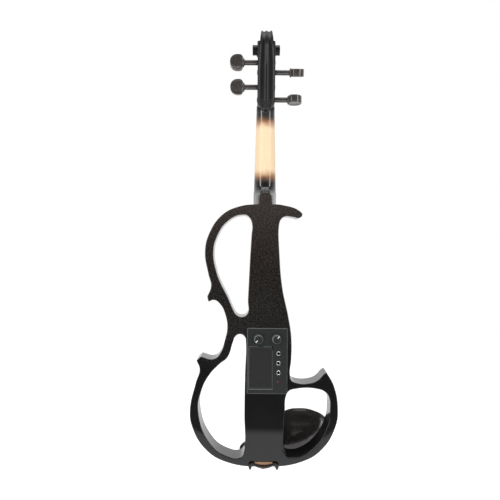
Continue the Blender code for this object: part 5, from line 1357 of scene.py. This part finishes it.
def makeKnob(name):
    x, z, turn = knobPlaces[name]
    radius, base, top = knobShape["radius"], knobShape["base"], knobShape["top"]
    bore, inside = knobShape["bore"], top + knobShape["roof"]
    rows = [(inside, 0.0004), (inside, bore), (base, bore), (base, radius - 0.0002), (base - 0.0002, radius)]
    rows += [(top + 0.0013, radius - 0.0002), (top + 0.0007, radius - 0.0004), (top + 0.0002, radius - 0.0009)]
    rows += [(top, radius - 0.0013), (top + 0.0002, radius - 0.0020), (top + 0.0003, radius - 0.0026)]
    rows += [(top + 0.0003, 0.0004)]
    knob = turned(rows, 96)
    grooves = []
    for number in range(knobShape["notches"]):
        angle = math.tau * (number + 0.2) / knobShape["notches"]
        groove = turned([(top - 0.001, 0.00022), (base - 0.0009, 0.00022)], 12)
        groove.location = (0, (radius + 0.00002) * math.cos(angle), (radius + 0.00002) * math.sin(angle))
        keepPlace(groove)
        grooves.append(groove)
    carve(knob, joined(grooves))
    faced(knob, x, z)
    settle(knob, name + "Knob", [name + "_knob"], 35, name + "_plastic")
    start, end, half, proud = knobShape["pointer"]
    line = block((start, top - proud + 0.00005, -half), (end, top + 0.0006, half))
    roundOff(line, 0.0002, 3, 50)
    line.rotation_euler = (0, -math.radians(turn), 0)
    line.location = spot(x, 0, z)
    keepPlace(line)
    line.name = name + "Pointer"
    line.data.materials.append(finishes["pointer_white"])
    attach(line, bodyOf[name + "_knob"])
    radius, low, high = knobShape["shaft"]
    shaft = turned([(low, radius - 0.0003), (low + 0.0003, radius), (high - 0.0001, radius), (high, radius - 0.0001)], 40)
    settle(faced(shaft, x, z), name + "Shaft", [name + "_shaft"], 35)
    radius, low, high = knobShape["pot"]
    rows = [(low, radius - 0.0006), (low + 0.0002, radius - 0.0002), (low + 0.0006, radius), (high, radius)]
    settle(faced(turned(rows, 64), x, z), name + "Pot", [name + "_potentiometer"], 35)


# sockets with bright rims
socketShape = {"case": (0.0042, 0.0021, 0.0105, 0.0058), "barrel": 0.0030, "bore": 0.0018, "face": -0.0020}
rimShape = {"inner": 0.0033, "outer": 0.00375, "lip": 0.00205, "near": -0.0015, "far": -0.0026}


def makeSocket(name):
    z = socketPlaces[name]
    half, near, far, tall = socketShape["case"]
    case = block(spot(socketColumn - half, near, z - tall), spot(socketColumn + half, far, z + tall))
    roundOff(case, 0.0004, 3, 50)
    barrel = turned([(socketShape["face"], socketShape["barrel"]), (near + 0.0007, socketShape["barrel"])], 48)
    carve(case, faced(barrel, socketColumn, z), "UNION")
    bore = turned([(-0.01, socketShape["bore"]), (far - 0.0010, socketShape["bore"])], 40)
    carve(case, faced(bore, socketColumn, z))
    settle(case, name + "Case", [name + "_socket"], 35)
    inner, outer, lip = rimShape["inner"], rimShape["outer"], rimShape["lip"]
    near, far = rimShape["near"], rimShape["far"]
    rows = [(near, inner), (near, outer), (far + 0.0004, outer), (far + 0.0001, outer - 0.0002), (far, outer - 0.0005)]
    rows += [(far, lip + 0.0006), (far + 0.0002, lip + 0.0001), (far + 0.0004, lip), (far + 0.0005, lip)]
    rows += [(far + 0.0005, inner), (near, inner)]
    settle(faced(turned(rows, 64, True), socketColumn, z), name + "Rim", [name + "_ring"], 35)


def makeControls():
    for name in knobPlaces:
        makeKnob(name)
    for name in socketPlaces:
        makeSocket(name)
    print("made", len(knobPlaces), "knobs and", len(socketPlaces), "sockets")


# chinrest: a cup beside the tailpiece, with its rim carried over to two feet
restShape = {
    "rim": (0.0545, 0.0590),
    "under": 0.0455,
    "cupCentre": (0.0590, -0.3654),
    "cupFall": 0.0125,
    "cupRings": 20,
    "fullness": 0.85,
    "dish": (0.0350, 0.0130, 0.0270),
    "arch": (0.0165, 0.0510),
    "foot": (0.0160, 0.0293, 0.0382, 0.0490, -0.3979, -0.3849),
    "edge": 0.0013,
}
restEdge = [(-0.0345, -0.0035), (-0.0385, 0.0060), (-0.0335, 0.0148), (0.0, 0.0325), (0.0350, 0.0684)]
restEdge += [(0.0610, 0.0736), (0.0850, 0.0696), (0.1030, 0.0594), (0.1100, 0.0470), (0.1090, 0.0350)]
restEdge += [(0.0950, 0.0180), (0.0700, 0.0045), (0.0400, -0.0035), (0.0, -0.0055)]
restBlock = [(-0.0315, 0.0), (-0.0350, 0.0060), (-0.0305, 0.0124), (0.0, 0.0290), (0.0240, 0.0400)]
restBlock += [(0.0310, 0.0280), (0.0305, 0.0040), (0.0200, -0.0015), (0.0, -0.0027)]
cupEdge = [(0.0225, 0.0200), (0.0235, 0.0480), (0.0285, 0.0600), (0.0375, 0.0674), (0.0610, 0.0722)]
cupEdge += [(0.0843, 0.0683), (0.1016, 0.0584), (0.1084, 0.0466), (0.1074, 0.0356), (0.0938, 0.0194)]
cupEdge += [(0.0690, 0.0062), (0.0430, 0.0010), (0.0280, 0.0050)]


def overEdge(knots):
    return [(x, z + bodyOutline[24][1]) for x, z in knots]


def makeChinrest():
    low, high = restShape["rim"]
    rest = slab([overEdge(restEdge)], low, high, 10)
    roundOff(rest, restShape["edge"], 4, 50)
    feet = slab([overEdge(restBlock)], restShape["under"], high - 0.0014, 10)
    roundOff(feet, 0.0008, 3, 50)
    carve(rest, feet, "UNION")
    near, far, back, front, foot, head = restShape["foot"]
    for side in (1, -1):
        left, right = sorted((side * near, side * far))
        leg = block(spot(left, back, foot), spot(right, front, head))
        roundOff(leg, 0.0006, 3, 50)
        carve(rest, leg, "UNION")
    cup = slab([overEdge(cupEdge)], low - 0.0003, low + 0.0021, 10)
    pickFaces(cup, lambda face: face.normal.y < -0.9)
    middle = spot(restShape["cupCentre"][0], 0, restShape["cupCentre"][1])
    before, fallen = 1, 0
    for number in range(1, restShape["cupRings"]):
        share = 1 - number / restShape["cupRings"]
        fall = restShape["cupFall"] * (1 - share * share) ** restShape["fullness"]
        bpy.ops.mesh.extrude_region_move(TRANSFORM_OT_translate={"value": (0, fallen - fall, 0)})
        bpy.ops.transform.resize(value=(share / before, 1, share / before), center_override=middle)
        before, fallen = share, fall
    leave()
    carve(rest, cup, "UNION")
    for thing in bpy.context.selected_objects:
        thing.select_set(False)
    centre = middle + Vector((0, high + 0.0007, 0))
    bpy.ops.mesh.primitive_uv_sphere_add(segments=96, ring_count=48, radius=1, location=centre)
    dish = bpy.context.object
    dish.scale = restShape["dish"]
    keepPlace(dish)
    carve(rest, dish)
    half, top = restShape["arch"]
    arch = block(spot(-half, 0, -0.4264), spot(half, top, -0.2800))
    pickEdges(arch, lambda one, two: min(one.y, two.y) > 0 and abs(one.z - two.z) > 0.01)
    bpy.ops.mesh.bevel(offset=0.0030, segments=6)
    leave()
    carve(rest, arch)
    settle(rest, "chinrestCup", ["chinrest"], 38, "rest_ebony")
    modify(rest, "WEIGHTED_NORMAL", {"keep_sharp": True, "weight": 60})
    print("made the chinrest,", len(rest.data.polygons), "faces")


# chinrest clamp: a thin curved plate on a strip of cork, with two bent rods
clampShape = {
    "half": 0.0140,
    "low": -0.4076,
    "top": -0.4021,
    "back": (-0.0031, -0.0022),
    "lip": (0.0055, 0.0035),
    "post": 0.0205,
    "level": -0.4096,
    "rod": 0.0015,
    "cork": (0.0136, -0.4052, -0.3984, -0.0019, -0.0003),
}
clampRoute = [(0.0205, 0.0155, 0.0), (0.0205, 0.0045, 0.0), (0.0207, -0.0010, 0.0006), (0.0215, -0.0034, 0.0036)]
clampRoute += [(0.0217, -0.0038, 0.0066), (0.0191, -0.0038, 0.0090), (0.0157, -0.0038, 0.0088), (0.0116, -0.0038, 0.0072)]


def makeClamp():
    half, low, top = (clampShape[word] for word in ("half", "low", "top"))
    right = [(half * 0.55, low + 0.0008), (half, low + 0.0034, "corner"), (half, top + 0.0022, "corner")]
    right += [(half * 0.55, top + 0.0006)]
    left = [(-x, *rest) for x, *rest in reversed(right)]
    foot = slab([[(0, low), *right, (0, top), *left]], *clampShape["back"], 10)
    roundOff(foot, 0.0002, 2, 50, True)
    half, reach = clampShape["lip"]
    lip = block(spot(-half, clampShape["back"][0] + 0.0001, low), spot(half, reach, low + 0.0009))
    carve(foot, lip, "UNION")
    for side in (1, -1):
        route = [spot(side * x, y, clampShape["level"] + z) for x, y, z in clampRoute]
        carve(foot, hose(route, clampShape["rod"], 6), "UNION")
    settle(foot, "clampPlate", ["clamp_foot"], 40)
    half, low, top, back, front = clampShape["cork"]
    outline = [(-half, low + 0.0012), (0, low), (half, low + 0.0012), (half, top, "corner"), (-half, top, "corner")]
    cork = slab([outline], back, front, 8)
    roundOff(cork, 0.0003, 3, 50, True)
    settle(cork, "footCork", ["foot_cork"], 40)
    print("bent the clamp")


# the two leads inside the body
leadShape = {
    "radius": 0.0009,
    "pickup": [(0.0205, 0.0347, -0.2200), (0.0205, 0.0300, -0.2200), (0.0205, 0.0250, -0.2200)],
    "battery": [(-0.0007, 0.0116, -0.2280), (-0.0004, 0.0118, -0.2272), (0.0063, 0.0160, -0.2274)],
}
leadShape["pickup"] += [(0.0210, 0.0198, -0.2210), (0.0210, 0.0138, -0.2220), (0.0210, 0.0127, -0.2220)]
leadShape["battery"] += [(0.0093, 0.0160, -0.2274), (0.0123, 0.0160, -0.2276), (0.0153, 0.0140, -0.2286)]
leadShape["battery"] += [(0.0153, 0.0128, -0.2286)]


def makeLeads():
    for name in ("pickup", "battery"):
        lead = hose([spot(*place) for place in leadShape[name]], leadShape["radius"])
        settle(lead, name + "Lead", [name + "_lead"], 60)
    print("laid the two leads")


makeCamera()
makeLamps()
makeWorld()
makeFloor()
print("camera, lamps and floor are in place")
paintNodes()
refineNodes()
makeBody()
makeNeck()
makePegs()
makePanel()
makeDoor()
makeControls()
makeChinrest()
makeClamp()
makeLeads()
